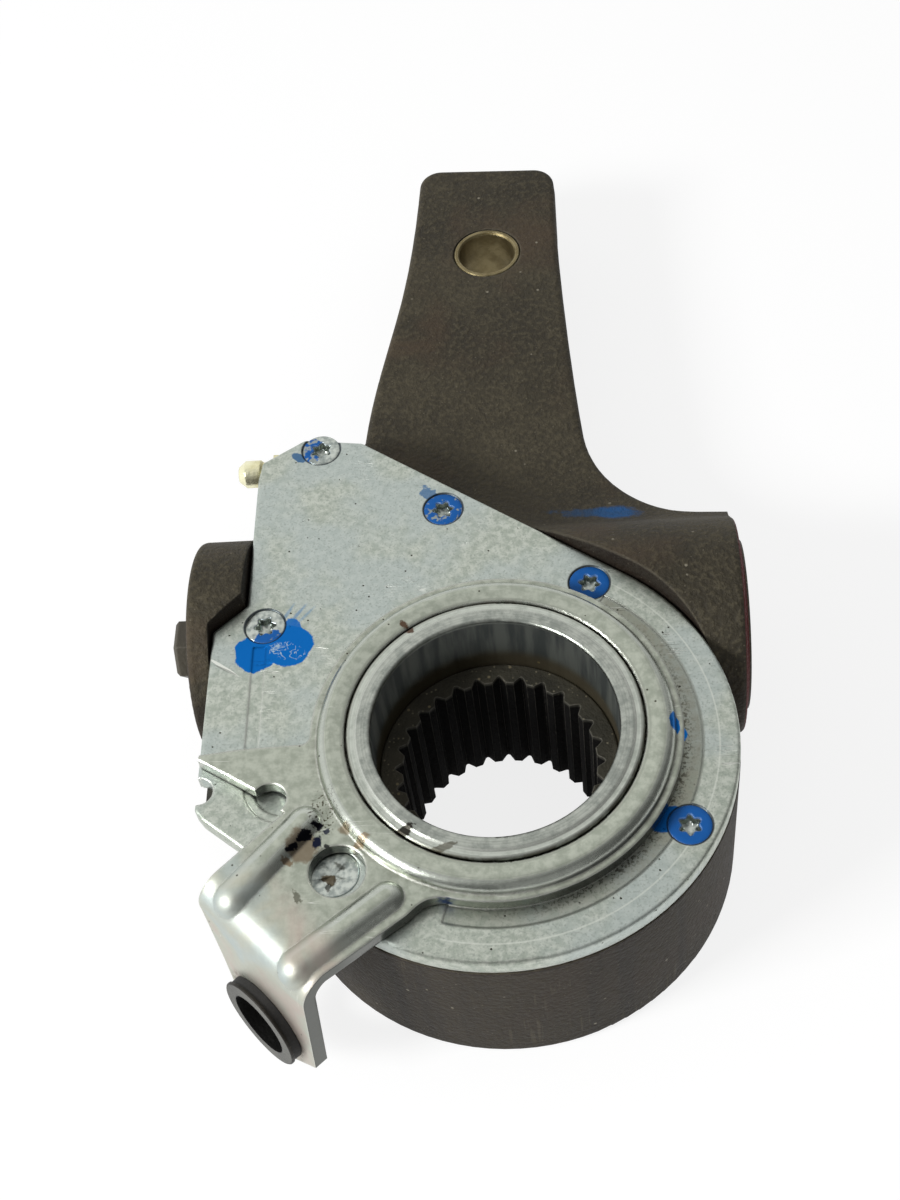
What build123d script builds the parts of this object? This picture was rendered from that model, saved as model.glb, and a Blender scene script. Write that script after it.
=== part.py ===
# Automatic brake slack adjuster: a lever on a brake camshaft that takes up lining wear by itself.
# Frame: the camshaft axis is Z, and Z = 0 is the back of the housing, where the part rests.
# +Z points to the cover side, +Y along the lever to its clevis pin, +X along the worm to its spring.
from build123d import *
from math import atan2, cos, degrees, pi, radians, sin, sqrt, tan
import os

os.makedirs("parts", exist_ok=True)

# Driving sizes, in millimetres and degrees

# Running clearances: between turned fits, and between pieces that only pass each other
fit_gap = 0.06
free_gap = 0.3

# Housing casting
barrel_wall = 10.5
tube_wall = 4.0
tube_left_over = 4.9
tube_right_x = 47.2
cast_round = 1.6
tube_round = 1.2

# Lever with its clevis pin bush
lever_length = 139.7
pin_x = -2.0
lever_thickness = 16.0
lever_tip_over = 28.0
lever_tip_half = 16.4
lever_root_half = 23.5
lever_root_x = -5.2
lever_root_rise = 27.9
lever_round = 1.4
pin_bore_r = 6.4
bush_wall = 1.4

# Splined wheel on the camshaft
spline_teeth = 28
spline_minor_r = 18.1
spline_major_r = 19.6
journal_wall = 4.4
wheel_back_z = 0.0
wheel_teeth = 26
wheel_module = 2.1
wheel_width_below = 8.9
wheel_width_above = 6.0

# Worm across the housing
worm_pitch_r = 7.3
worm_turns = 3.5
journal_r = 6.0
hex_across = 11.1
hex_length = 5.7
pressure_angle = 20.0
tooth_slack = 0.32

# Clutch between the worm and the rack
gear_teeth = 17
gear_module = 1.0
gear_width = 5.2
clutch_hub_r = 7.6
coil_wire = 1.2
coil_pitch = 1.5

# Rack and the slot that drives it
rack_width = 5.0
rack_low_y = -4.5
rack_high_y = 47.0
rack_toothed_low_y = 20.0
nose_width = 4.0
slot_width = 7.6
arm_swing_down = 18.0
arm_swing_up = 8.0

# Cover
gasket_thickness = 0.5
cover_thickness = 3.3
cover_gap = 0.5
cover_edge_round = 0.6
diagonal_angle = 55.1
diagonal_length = 63.8
ear_angle = 232.4
ear_length = 33.8
ear_step = 6.3
screw_r = 2.4
screw_head_r = 4.0
wide_head_r = 4.7
screw_grip = 3.0

# Control wheel and the stamped control arm
hub_wall = 3.1
lip_over = 1.3
lip_height = 1.7
disc_thickness = 3.2
sheet = 2.7
crown_width = 5.3
crown_round = 2.2
arm_angle = 224.5
arm_left = -15.5
arm_right_root = 14.8
arm_right_fold = 12.5
arm_reach = 9.0
bend_radius = 2.7
bend_angle = 85.0
lug_length = 29.8
lug_hole_rise = 8.8
lug_hole_r = 7.3
lug_bore_r = 6.35
lug_flange_r = 9.2
lug_flange_out = 2.4
access_hole_r = 5.0
bead_width = 6.2
bead_height = 1.6

# Pressure spring end
spring_bore_x = 22.5
spring_bore_over = 2.8
retainer_seat_x = 39.5
retainer_over = 4.9
race_thickness = 1.3
ball_r = 1.2
ball_count = 12
spring_wire_r = 1.9
spring_turns = 3.0
seal_wire_r = 0.9
seal_groove_z = 6.2

# Grease fitting
fitting_thread_r = 3.0

# Sizes that follow from these: across the camshaft axis

wheel_pitch_r = wheel_module * wheel_teeth / 2
wheel_tip_r = wheel_pitch_r + wheel_module
wheel_root_r = wheel_pitch_r - 1.25 * wheel_module
disc_r = wheel_tip_r + 4.1
barrel_r = disc_r + barrel_wall
back_journal_r = spline_major_r + journal_wall
seal_groove_r = back_journal_r + 2 * seal_wire_r + 0.3
hub_bore_r = spline_major_r + 2.9
hub_r = hub_bore_r + hub_wall
cover_bore_r = hub_r + 0.4
lip_r = hub_r + lip_over
crown_inner_r = lip_r + free_gap
crown_r = crown_inner_r + crown_width
arm_flange_r = crown_r + 1.3
bend_start = barrel_r + arm_reach
rack_gap = disc_r + 0.5
gear_x = -(rack_gap + rack_width / 2)
nose_x = -(disc_r - 4)
screw_ring_r = disc_r + 5.1

# Across the worm axis
worm_tip_r = worm_pitch_r + wheel_module
worm_root_r = worm_pitch_r - 1.25 * wheel_module
worm_lead = pi * wheel_module
worm_collar_r = worm_tip_r - 0.9
gear_pitch_r = gear_module * gear_teeth / 2
bearing_bore_r = max(worm_tip_r + 0.4, gear_pitch_r + gear_module + free_gap)
spring_bore_r = bearing_bore_r + spring_bore_over
retainer_r = spring_bore_r + retainer_over
tube_r = retainer_r + tube_wall
worm_y = wheel_pitch_r + worm_pitch_r
worm_z = tube_r

# Heights, from the worm up to the ring
rack_pitch_z = worm_z + gear_pitch_r
wheel_teeth_low_z = worm_z - wheel_width_below
wheel_teeth_high_z = worm_z + wheel_width_above
wheel_front_z = wheel_teeth_high_z + 2.1
disc_low_z = worm_z + bearing_bore_r
disc_high_z = disc_low_z + disc_thickness
cover_low_z = disc_high_z + 1.0
cover_top_z = cover_low_z + cover_thickness
body_height = cover_low_z - gasket_thickness
rack_top_z = cover_low_z - 0.9
arm_low_z = cover_top_z + free_gap
arm_top_z = arm_low_z + sheet
lip_top_z = arm_top_z + 2.2
lip_low_z = lip_top_z - lip_height
crown_top_z = lip_top_z - 0.1
lever_top_z = worm_z + 4.5
lever_low_z = lever_top_z - lever_thickness
lever_root_y = worm_y + tube_r + lever_root_rise

# In plan
slot_low_y = rack_low_y + nose_x * tan(radians(arm_swing_up)) - 0.7
slot_high_y = rack_high_y - nose_x * tan(radians(arm_swing_down)) + 0.7
bush_r = pin_bore_r + bush_wall
flank_run = tan(radians(pressure_angle))
access_hole_out = screw_ring_r
lug_hole_drop = lug_length - lug_hole_rise

worm_axis = Axis((0, worm_y, worm_z), (1, 0, 0))
worm_plane = Plane(origin=(0, worm_y, worm_z), x_dir=(1, 0, 0), z_dir=(0, -1, 0))


def across(x):
    """Plane across the worm at x: its own x is world Y and its own y is world Z."""
    return Plane(origin=(x, worm_y, worm_z), x_dir=(0, 1, 0), z_dir=(1, 0, 0))


def polar(radius, angle):
    """Point at a radius and an angle about Z."""
    return (radius * cos(radians(angle)), radius * sin(radians(angle)))


def turn_worm(*profile, mode=Mode.ADD):
    """Turned solid on the worm axis: each point is a place along it and a radius."""
    with BuildSketch(worm_plane) as section:
        Polygon(*profile, align=None)
    revolve(section.sketch, axis=worm_axis, mode=mode)


def turn_cam(*profile, rounds=(), mode=Mode.ADD):
    """Turned solid on the camshaft axis: each point is a radius and a height, some of them rounded."""
    with BuildSketch(Plane.XZ) as section:
        Polygon(*profile, align=None)
        for corner, radius in rounds:
            fillet(vertices().sort_by_distance((corner[0], corner[1], 0))[0], radius)
    revolve(section.sketch, axis=Axis.Z, mode=mode)


def bore_worm(low_x, high_x, radius):
    """Bore along the worm axis from one place to another."""
    with BuildSketch(across(low_x)) as section:
        Circle(radius)
    extrude(section.sketch, amount=high_x - low_x, mode=Mode.SUBTRACT)


def tooth_outline(module, teeth, base_in, slack):
    """One involute gear tooth that points along local +X."""
    pitch_r = module * teeth / 2
    base_r = pitch_r * cos(radians(pressure_angle))
    tip_r = pitch_r + module
    root_r = pitch_r - 1.25 * module
    pitch_half = pi / 2 / teeth - slack / 2 / pitch_r + flank_run - radians(pressure_angle)
    radii = [base_r + (tip_r - base_r) * part for part in (0, 0.35, 0.7, 1)]
    flank = []
    for radius in radii:
        roll = sqrt(max((radius / base_r) ** 2 - 1, 0))
        half = pitch_half - (roll - atan2(roll, 1))
        flank.append((radius * cos(half), radius * sin(half)))
    low = (min(root_r, base_r) - base_in, flank[0][1])
    mirrored = [(x, -y) for x, y in flank]
    with BuildLine() as outline:
        Line(low, flank[0])
        Spline(*flank)
        ThreePointArc(flank[-1], (tip_r, 0), mirrored[-1])
        Spline(*reversed(mirrored))
        Line(mirrored[0], (low[0], -low[1]))
        Line((low[0], -low[1]), low)
    make_face(outline.edges())


# Plan outline of the cover: a round rim with two straight tangents that reach the corners

cover_r = barrel_r - 0.1


def on_diagonal(along, inward):
    """Point at a way along the cover's diagonal edge from its tangent point, and a way in from it."""
    turn = radians(diagonal_angle)
    return ((cover_r - inward) * cos(turn) - along * sin(turn),
            (cover_r - inward) * sin(turn) + along * cos(turn))


top_tangent = on_diagonal(0, 0)
top_corner = on_diagonal(diagonal_length, 0)
ear_tangent = polar(cover_r, ear_angle)
ear_corner = (ear_tangent[0] + ear_length * sin(radians(ear_angle)),
              ear_tangent[1] - ear_length * cos(radians(ear_angle)))
ear_x = ear_corner[0] - 1.0
step_x = ear_x + ear_step
tube_left_x = ear_x - tube_left_over
fitting_wall_x = step_x + 4.8
fitting_y = top_corner[1] + 0.4
fitting_z = body_height - 5

rim_screws = [polar(screw_ring_r, 61.9), polar(screw_ring_r, -29.3), polar(screw_ring_r, 222.0)]
screw_places = [(top_corner[0] - 8.4, top_corner[1] - 1.4), on_diagonal(39.2, 5.5), rim_screws[0],
                rim_screws[1], (step_x + 3.9, worm_y - 7.2), rim_screws[2]]
screw_heads = [screw_head_r] * 5 + [wide_head_r]


def cover_outline():
    """Outline shared by the cover, its gasket, and the step that it lies in."""
    with BuildLine() as rim:
        CenterArc((0, 0), cover_r, ear_angle - 360, 360 - ear_angle + diagonal_angle)
        Polyline(top_tangent, top_corner, (top_corner[0] - 12.0, top_corner[1] + 1.6),
                 (step_x + 0.6, top_corner[1] - 4.0), (step_x, top_corner[1] - 8.5), (step_x, worm_y - 2.2),
                 (ear_x, worm_y - 8.0), (ear_x, ear_corner[1] + 1.8),
                 (ear_corner[0] + 0.6, ear_corner[1] - 0.2), ear_tangent)
    make_face(rim.edges())


# Housing: barrel, cross tube, lever and the seat under the cover

with BuildPart() as lever_blank:
    with BuildSketch(Plane.XY):
        with BuildLine():
            tip_y = lever_length + lever_tip_over
            flare_x = tube_right_x - 0.6
            root_left_x = lever_root_x - lever_root_half
            root_right_x = lever_root_x + lever_root_half
            swell_y = lever_length - 13.7
            tube_top_y = worm_y + tube_r
            left = Spline((root_left_x, lever_root_y), (pin_x - lever_tip_half - 3.5, swell_y),
                          (pin_x - lever_tip_half, tip_y - 8), tangents=((0.08, 1), (0.06, 1)))
            tip = Polyline(left @ 1, (pin_x - lever_tip_half + 0.6, tip_y + 2),
                           (pin_x + lever_tip_half - 0.6, tip_y), (pin_x + lever_tip_half, tip_y - 8))
            right = Spline(tip @ 1, (pin_x + lever_tip_half + 0.8, swell_y), (root_right_x, lever_root_y),
                           tangents=((-0.02, -1), (0.1, -1)))
            flare = Spline(right @ 1, (root_right_x + 5.3, lever_root_y - 14.4),
                           (flare_x - 11, tube_top_y + 2.9), (flare_x, tube_top_y + 0.8),
                           tangents=((0.1, -1), (1, -0.12)))
            Polyline(flare @ 1, (flare_x, worm_y), (root_left_x - 8, worm_y),
                     (root_left_x - 8, lever_root_y - 18.0), left @ 0)
        make_face()
        tip_corners = [v for v in vertices() if v.Y > tip_y - 1]
        fillet(tip_corners, 5)
    extrude(amount=2 * tube_r + 10)
    with BuildSketch(Plane.YZ.offset(-2 * barrel_r)):
        rise = 15.0
        slope_top = worm_y + sqrt(tube_r ** 2 - (lever_top_z + 8.5 - worm_z) ** 2)
        with BuildLine():
            Line((worm_y, lever_low_z - 6), (slope_top, lever_low_z - 6))
            Spline((slope_top, lever_low_z - 6), (slope_top + rise, lever_low_z),
                   tangents=((0.6, 1), (1, 0)))
            Polyline((slope_top + rise, lever_low_z), (tip_y + 10, lever_low_z), (tip_y + 10, lever_top_z),
                     (slope_top + 1.6 * rise, lever_top_z))
            Spline((slope_top + 1.6 * rise, lever_top_z), (slope_top, lever_top_z + 8.5),
                   tangents=((-1, 0), (-0.6, 0.9)))
            Polyline((slope_top, lever_top_z + 8.5), (worm_y, lever_top_z + 12), (worm_y, lever_low_z - 6))
        make_face()
    extrude(amount=4 * barrel_r, mode=Mode.INTERSECT)
    # Rounded upper edges, without the smooth seam between the flat and its rise
    seam_y = slope_top + 1.6 * rise
    upper_edges = [e for e in edges() if -0.01 < e.center().Z - lever_top_z < 4]
    outer_edges = [e for e in upper_edges if e.center().Y > seam_y - 2 * rise]
    sharp_edges = [e for e in outer_edges if e.length < 40 or abs(e.center().Y - seam_y) > 0.1]
    fillet(sharp_edges, lever_round)

with BuildPart() as tube_blank:
    with BuildSketch(across(tube_left_x)):
        Circle(tube_r)
    extrude(amount=tube_right_x - tube_left_x)
    fillet(edges().filter_by(GeomType.CIRCLE), tube_round)

with BuildPart() as housing:
    Cylinder(barrel_r, body_height, align=(Align.CENTER, Align.CENTER, Align.MIN))
    fillet(edges().group_by(Axis.Z)[0], cast_round)
    add(tube_blank.part)
    add(lever_blank.part)
    with BuildSketch(Plane.XY.offset(4)):
        pad_end = on_diagonal(16.0, 0)
        Polygon((fitting_wall_x, worm_y), (fitting_wall_x, top_corner[1] - 2.5),
                (fitting_wall_x + 2.9, top_corner[1]), (top_corner[0] - 3.8, top_corner[1] + 0.4),
                (top_corner[0], top_corner[1] - 0.6), pad_end, (pad_end[0], worm_y), align=None)
    extrude(amount=body_height - 4)
    with BuildSketch(Plane.XY.offset(3)):
        pad_x = ear_x + 2.1
        Polygon((pad_x, worm_y - 10.6), (pad_x, worm_y - 28.6), (pad_x + 11.5, ear_corner[1] + 2.2),
                (14 - barrel_r, ear_corner[1] + 4.2), (14 - barrel_r, worm_y - 10.6), align=None)
    extrude(amount=body_height - 3)
    # Step that the cover lies in, with the tube standing up around it
    with BuildSketch(Plane.XY.offset(body_height)):
        cover_outline()
        offset(amount=cover_gap)
    extrude(amount=2 * tube_r, mode=Mode.SUBTRACT)
    # Boss of the grease fitting
    with BuildSketch(Plane.YZ.offset(fitting_wall_x)):
        with Locations((fitting_y, fitting_z)):
            Circle(4.4)
    extrude(amount=9)
    # Wheel chamber, journal bore and the shallow room for the control wheel
    turn_cam((0, -1), (back_journal_r + fit_gap, -1),
             (back_journal_r + fit_gap, wheel_teeth_low_z - free_gap),
             (wheel_tip_r + 0.5, wheel_teeth_low_z - free_gap), (wheel_tip_r + 0.5, disc_low_z - free_gap),
             (disc_r + 0.7, disc_low_z - free_gap), (disc_r + 0.7, body_height + 1), (0, body_height + 1),
             mode=Mode.SUBTRACT)
    turn_cam((back_journal_r - 1, seal_groove_z - 1.2), (seal_groove_r, seal_groove_z - 1.2),
             (seal_groove_r, seal_groove_z + 1.2), (back_journal_r - 1, seal_groove_z + 1.2),
             mode=Mode.SUBTRACT)
    # Cross bores for the worm, its bearing, its spring and the retainer
    bore_worm(gear_x - gear_width / 2 - 1.6, spring_bore_x, bearing_bore_r)
    bore_worm(spring_bore_x - 1, retainer_seat_x, spring_bore_r)
    bore_worm(retainer_seat_x, tube_right_x + 1, retainer_r + 0.1)
    bore_worm(tube_left_x - 1, 0, journal_r + fit_gap)
    bore_worm(tube_left_x + 0.6, tube_left_x + 4.8, 9.6)
    # Slot for the rack beside the wheel
    with BuildSketch(Plane.XY.offset(rack_pitch_z - gear_module - free_gap)):
        with Locations((gear_x, (slot_low_y + slot_high_y) / 2)):
            Rectangle(rack_width + 2 * free_gap + 0.2, slot_high_y - slot_low_y)
    extrude(amount=body_height, mode=Mode.SUBTRACT)
    # Way of the rack's nose between the slot and the room of the control wheel
    with BuildSketch(Plane.XY.offset(disc_low_z - free_gap)):
        nose_low_y = slot_low_y - rack_low_y - nose_width / 2
        nose_high_y = slot_high_y - rack_high_y + nose_width / 2
        nose_end_x = nose_x + nose_width / 2 + free_gap
        with Locations(((gear_x + nose_end_x) / 2, (nose_low_y + nose_high_y) / 2)):
            Rectangle(nose_end_x - gear_x, nose_high_y - nose_low_y)
    extrude(amount=body_height, mode=Mode.SUBTRACT)
    # Tapped holes of the cover screws
    with Locations(*[Location((x, y, body_height)) for x, y in screw_places]):
        Cylinder(screw_r + 0.05, 2 * (screw_grip + 0.8), mode=Mode.SUBTRACT)
    # Pin bush bore in the lever
    with Locations((pin_x, lever_length, lever_low_z - 1)):
        Cylinder(bush_r + fit_gap, lever_thickness + 2, align=(Align.CENTER, Align.CENTER, Align.MIN),
                 mode=Mode.SUBTRACT)
    # Tapped bore of the grease fitting, with its way into the rack slot
    with BuildSketch(Plane.YZ.offset(fitting_wall_x - 1)):
        with Locations((fitting_y, fitting_z)):
            Circle(fitting_thread_r + 0.03)
    extrude(amount=6.5, mode=Mode.SUBTRACT)
    with BuildSketch(Plane.XZ.offset(-fitting_y)):
        with Locations((fitting_wall_x + 4.6, fitting_z)):
            Circle(1.0)
    extrude(amount=18, mode=Mode.SUBTRACT)
housing.part.label = "housing"
export_step(housing.part, "parts/housing.step")

with BuildPart() as clevis_bushing:
    with Locations((pin_x, lever_length, lever_low_z)):
        Cylinder(bush_r, lever_thickness, align=(Align.CENTER, Align.CENTER, Align.MIN))
        Cylinder(pin_bore_r, lever_thickness, align=(Align.CENTER, Align.CENTER, Align.MIN),
                 mode=Mode.SUBTRACT)
    chamfer(edges().filter_by(GeomType.CIRCLE), 0.4)
clevis_bushing.part.label = "clevis_bushing"
export_step(clevis_bushing.part, "parts/clevis_bushing.step")


# Cover, gasket and screws

cover_seal_groove_r = cover_bore_r + 2 * seal_wire_r - 0.1
with BuildPart() as cover_plate:
    with BuildSketch(Plane.XY.offset(cover_low_z)):
        cover_outline()
        corner_points = [v for v in vertices() if v.X < top_corner[0] + 1 and v.Y > ear_corner[1] - 1]
        fillet(corner_points, 1.2)
    extrude(amount=cover_thickness)
    fillet(edges().group_by(Axis.Z)[-1], cover_edge_round)
    # Notch of the ear that the pointer stands over
    notch_y = ear_corner[1] + 5.6
    with BuildSketch(Plane.XY.offset(cover_low_z)):
        with Locations((ear_x + 0.4, notch_y)):
            Circle(2.7)
        with Locations((ear_x - 1.5, notch_y + 0.6)):
            Rectangle(4, 4.6)
    extrude(amount=cover_thickness, mode=Mode.SUBTRACT)
    with Locations((0, 0, cover_top_z)):
        Hole(cover_bore_r)
    turn_cam((cover_bore_r - 1, cover_low_z + 0.7), (cover_seal_groove_r, cover_low_z + 0.7),
             (cover_seal_groove_r, cover_top_z - 0.7), (cover_bore_r - 1, cover_top_z - 0.7),
             mode=Mode.SUBTRACT)
    for (x, y), head_r in zip(screw_places, screw_heads):
        with Locations((x, y, cover_top_z)):
            CounterSinkHole(screw_r + 0.1, head_r + 0.1, counter_sink_angle=90)
    # Shallow track pressed beside the rack
    track_x = ear_x + 9.5
    with BuildSketch(Plane.XY.offset(cover_top_z)):
        with Locations((track_x, (worm_y - 12.0 + ear_corner[1]) / 2 + 3.0)):
            Rectangle(2.5, worm_y - 18.0 - ear_corner[1])
    extrude(amount=-0.25, mode=Mode.SUBTRACT)
    # Round dish of two steps, seen between the pointer and the arm
    for dish_r, dish_depth in ((7.6, 0.25), (6.0, 0.6)):
        with Locations((gear_x - 1.8, -8.0, cover_top_z)):
            Cylinder(dish_r, 2 * dish_depth, mode=Mode.SUBTRACT)
    # Shallow bed around the ring on the side away from the rack
    with BuildSketch(Plane.XY.offset(cover_top_z)):
        Circle(arm_flange_r + 3.4)
        Circle(arm_flange_r - 0.3, mode=Mode.SUBTRACT)
        Polygon((0, 0), polar(2 * barrel_r, -105), polar(2 * barrel_r, -52), polar(2 * barrel_r, 0),
                polar(2 * barrel_r, 56), align=None, mode=Mode.INTERSECT)
    extrude(amount=-0.25, mode=Mode.SUBTRACT)
cover_plate.part.label = "cover_plate"
export_step(cover_plate.part, "parts/cover_plate.step")

with BuildPart() as cover_gasket:
    with BuildSketch(Plane.XY.offset(body_height)):
        cover_outline()
        offset(amount=-1.2)
        Circle(disc_r + 1.2, mode=Mode.SUBTRACT)
        with Locations(*screw_places):
            Circle(screw_r + free_gap, mode=Mode.SUBTRACT)
        with Locations((gear_x, (rack_low_y + rack_high_y) / 2 + 2.6)):
            Rectangle(rack_width + 3 * free_gap, rack_high_y - rack_low_y + 18, mode=Mode.SUBTRACT)
    extrude(amount=gasket_thickness)
cover_gasket.part.label = "cover_gasket"
export_step(cover_gasket.part, "parts/cover_gasket.step")

with BuildPart() as cover_screws:
    for (x, y), head_r in zip(screw_places, screw_heads):
        with Locations((x, y, cover_top_z - 0.1)):
            Cylinder(screw_r, cover_thickness + gasket_thickness + screw_grip,
                     align=(Align.CENTER, Align.CENTER, Align.MAX))
            Cone(screw_r - 0.1, head_r, head_r - screw_r + 0.1,
                 align=(Align.CENTER, Align.CENTER, Align.MAX))
cover_screws.part.label = "cover_screws"
export_step(cover_screws.part, "parts/cover_screws.step")


# Worm wheel with its camshaft spline

wheel_twist = degrees(worm_lead / (2 * pi * worm_pitch_r) / wheel_pitch_r)
tooth_planes = [Plane.XY.offset(z).rotated((0, 0, (z - worm_z) * wheel_twist + 90))
                for z in (wheel_teeth_low_z, wheel_teeth_high_z)]

with BuildPart() as wheel_tooth:
    for plane in tooth_planes:
        with BuildSketch(plane):
            tooth_outline(wheel_module, wheel_teeth, 0.4, tooth_slack)
    loft(ruled=True)

with BuildPart() as worm_wheel:
    turn_cam((spline_minor_r, wheel_back_z), (back_journal_r - 0.6, wheel_back_z),
             (back_journal_r, wheel_back_z + 0.6), (back_journal_r, wheel_teeth_low_z),
             (wheel_root_r, wheel_teeth_low_z), (wheel_root_r, wheel_teeth_high_z),
             (hub_bore_r - fit_gap, wheel_teeth_high_z), (hub_bore_r - fit_gap, wheel_front_z - 0.4),
             (hub_bore_r - fit_gap - 0.4, wheel_front_z), (spline_minor_r, wheel_front_z))
    with PolarLocations(0, wheel_teeth):
        add(wheel_tooth.part)
    # Internal spline: one pointed valley for each tooth of the camshaft
    with BuildSketch(Plane.XY.offset(wheel_back_z - 1)):
        valley_half = pi * spline_minor_r / spline_teeth * 0.62
        with PolarLocations(0, spline_teeth):
            Polygon((spline_minor_r - 1.5, -valley_half - 0.25), (spline_minor_r, -valley_half),
                    (spline_major_r - 0.15, -0.34), (spline_major_r, 0), (spline_major_r - 0.15, 0.34),
                    (spline_minor_r, valley_half), (spline_minor_r - 1.5, valley_half + 0.25), align=None)
    extrude(amount=wheel_front_z + 2, mode=Mode.SUBTRACT)
worm_wheel.part.label = "worm_wheel"
export_step(worm_wheel.part, "parts/worm_wheel.step")


with BuildPart() as wheel_seal:
    with Locations((0, 0, seal_groove_z)):
        Torus(back_journal_r + seal_wire_r + 0.1, seal_wire_r)
wheel_seal.part.label = "wheel_seal"
export_step(wheel_seal.part, "parts/wheel_seal.step")

with BuildPart() as cover_seal:
    with Locations((0, 0, (cover_low_z + cover_top_z) / 2)):
        Torus(cover_bore_r + 0.75, 0.85)
cover_seal.part.label = "cover_seal"
export_step(cover_seal.part, "parts/cover_seal.step")


# Worm shaft: adjusting hexagon, journal, clutch cone, thread and bearing end

thread_half = worm_lead / 4 - tooth_slack / 2
thread_deep = worm_pitch_r - worm_root_r + 0.3
worm_half_length = worm_turns / 2 * worm_lead + thread_half + thread_deep * flank_run + 0.6
bearing_x = worm_half_length + 0.8
race_2_x = bearing_x + race_thickness + 2 * ball_r + 0.2
seat_x = race_2_x + race_thickness + 0.05
shaft_end_x = retainer_seat_x + 4.5
cone_length = 4.2
hex_start_x = tube_left_x - 0.3

with BuildPart() as worm_shaft:
    turn_worm((hex_start_x, 0), (hex_start_x, journal_r), (-worm_half_length - cone_length, journal_r),
              (-worm_half_length - cone_length, worm_root_r + 2.2), (-worm_half_length, worm_collar_r),
              (-worm_half_length + 0.8, worm_root_r), (worm_half_length - 0.8, worm_root_r),
              (worm_half_length, worm_collar_r), (bearing_x - 0.05, worm_collar_r),
              (bearing_x - 0.05, journal_r), (shaft_end_x - 0.8, journal_r), (shaft_end_x, journal_r - 0.8),
              (shaft_end_x, 0))
    with BuildSketch(across(hex_start_x)) as hexagon:
        RegularPolygon(hex_across / 2, 6, major_radius=False)
    extrude(amount=-hex_length)
    chamfer(faces().sort_by(Axis.X)[0].edges(), 0.7)
    # Thread: one start, straight flanks, with a space facing the middle tooth of the wheel
    thread_start_x = worm_lead / 4 - round(worm_turns / 2 + 0.25) * worm_lead
    with BuildLine() as thread_path:
        Helix(worm_lead, worm_turns * worm_lead, worm_pitch_r, center=(thread_start_x, worm_y, worm_z),
              direction=(1, 0, 0))
    thread_plane = Plane(origin=thread_path.line @ 0, x_dir=(1, 0, 0), z_dir=(0, -1, 0))
    with BuildSketch(thread_plane) as thread_section:
        Polygon((-thread_half - thread_deep * flank_run, -thread_deep),
                (thread_half + thread_deep * flank_run, -thread_deep),
                (thread_half - wheel_module * flank_run, wheel_module),
                (-thread_half + wheel_module * flank_run, wheel_module), align=None)
    sweep(thread_section.sketch, path=thread_path.line, is_frenet=True)
worm_shaft.part.label = "worm_shaft"
export_step(worm_shaft.part, "parts/worm_shaft.step")

with BuildPart() as shaft_seal:
    turn_worm((tube_left_x + 0.9, journal_r + 0.1), (tube_left_x + 0.9, 9.4), (tube_left_x + 4.6, 9.4),
              (tube_left_x + 4.6, 8.2), (tube_left_x + 2.2, 8.2), (tube_left_x + 2.2, journal_r + 0.9),
              (tube_left_x + 3.6, journal_r + 0.1))
shaft_seal.part.label = "shaft_seal"
export_step(shaft_seal.part, "parts/shaft_seal.step")


# Clutch: gear on the shaft, wheel on the worm's cone, and the coil that grips both hubs one way

gear_low_x = gear_x - gear_width / 2
gear_high_x = gear_x + gear_width / 2
cone_start_x = -worm_half_length - cone_length
clutch_flange_x = cone_start_x - 1.2
hub_meeting_x = (gear_high_x + clutch_flange_x) / 2

with BuildPart() as clutch_washer:
    turn_worm((gear_low_x - 1.4, journal_r + 0.2), (gear_low_x - 1.4, bearing_bore_r - 0.4),
              (gear_low_x - 0.3, bearing_bore_r - 0.4), (gear_low_x - 0.3, journal_r + 0.2))
clutch_washer.part.label = "clutch_washer"
export_step(clutch_washer.part, "parts/clutch_washer.step")

with BuildPart() as clutch_gear:
    root_r = gear_pitch_r - 1.25 * gear_module
    turn_worm((gear_low_x, journal_r + fit_gap), (gear_low_x, root_r), (gear_high_x, root_r),
              (gear_high_x, clutch_hub_r), (hub_meeting_x - 0.1, clutch_hub_r),
              (hub_meeting_x - 0.1, journal_r + fit_gap))
    for number in range(gear_teeth):
        turned_plane = Plane(origin=(gear_low_x, worm_y, worm_z),
                             x_dir=(0, cos(2 * pi * number / gear_teeth + pi / 2),
                                    sin(2 * pi * number / gear_teeth + pi / 2)), z_dir=(1, 0, 0))
        with BuildSketch(turned_plane):
            tooth_outline(gear_module, gear_teeth, 0.3, tooth_slack)
        extrude(amount=gear_width)
clutch_gear.part.label = "clutch_gear"
export_step(clutch_gear.part, "parts/clutch_gear.step")

with BuildPart() as clutch_wheel:
    flange_r = bearing_bore_r - 0.4
    turn_worm((hub_meeting_x + 0.2, journal_r + 0.1), (hub_meeting_x + 0.2, clutch_hub_r),
              (clutch_flange_x, clutch_hub_r), (clutch_flange_x, flange_r),
              (-worm_half_length - 0.3, flange_r), (-worm_half_length - 0.3, worm_tip_r - 0.6),
              (cone_start_x - 0.1, worm_root_r + 2.35),
              (cone_start_x - 0.1, journal_r + 0.1))
clutch_wheel.part.label = "clutch_wheel"
export_step(clutch_wheel.part, "parts/clutch_wheel.step")

with BuildPart() as one_way_spring:
    coil_length = clutch_flange_x - gear_high_x - coil_wire - 0.8
    with BuildLine() as coil_path:
        Helix(coil_pitch, coil_length, clutch_hub_r + 0.15 + coil_wire / 2,
              center=(gear_high_x + coil_wire / 2 + 0.4, worm_y, worm_z), direction=(1, 0, 0))
    with BuildSketch(Plane(origin=coil_path.line @ 0, x_dir=(1, 0, 0), z_dir=(0, -1, 0))) as wire:
        Rectangle(coil_wire, coil_wire)
    sweep(wire.sketch, path=coil_path.line, is_frenet=True)
one_way_spring.part.label = "one_way_spring"
export_step(one_way_spring.part, "parts/one_way_spring.step")


# Thrust bearing, pressure spring and retainer

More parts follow.
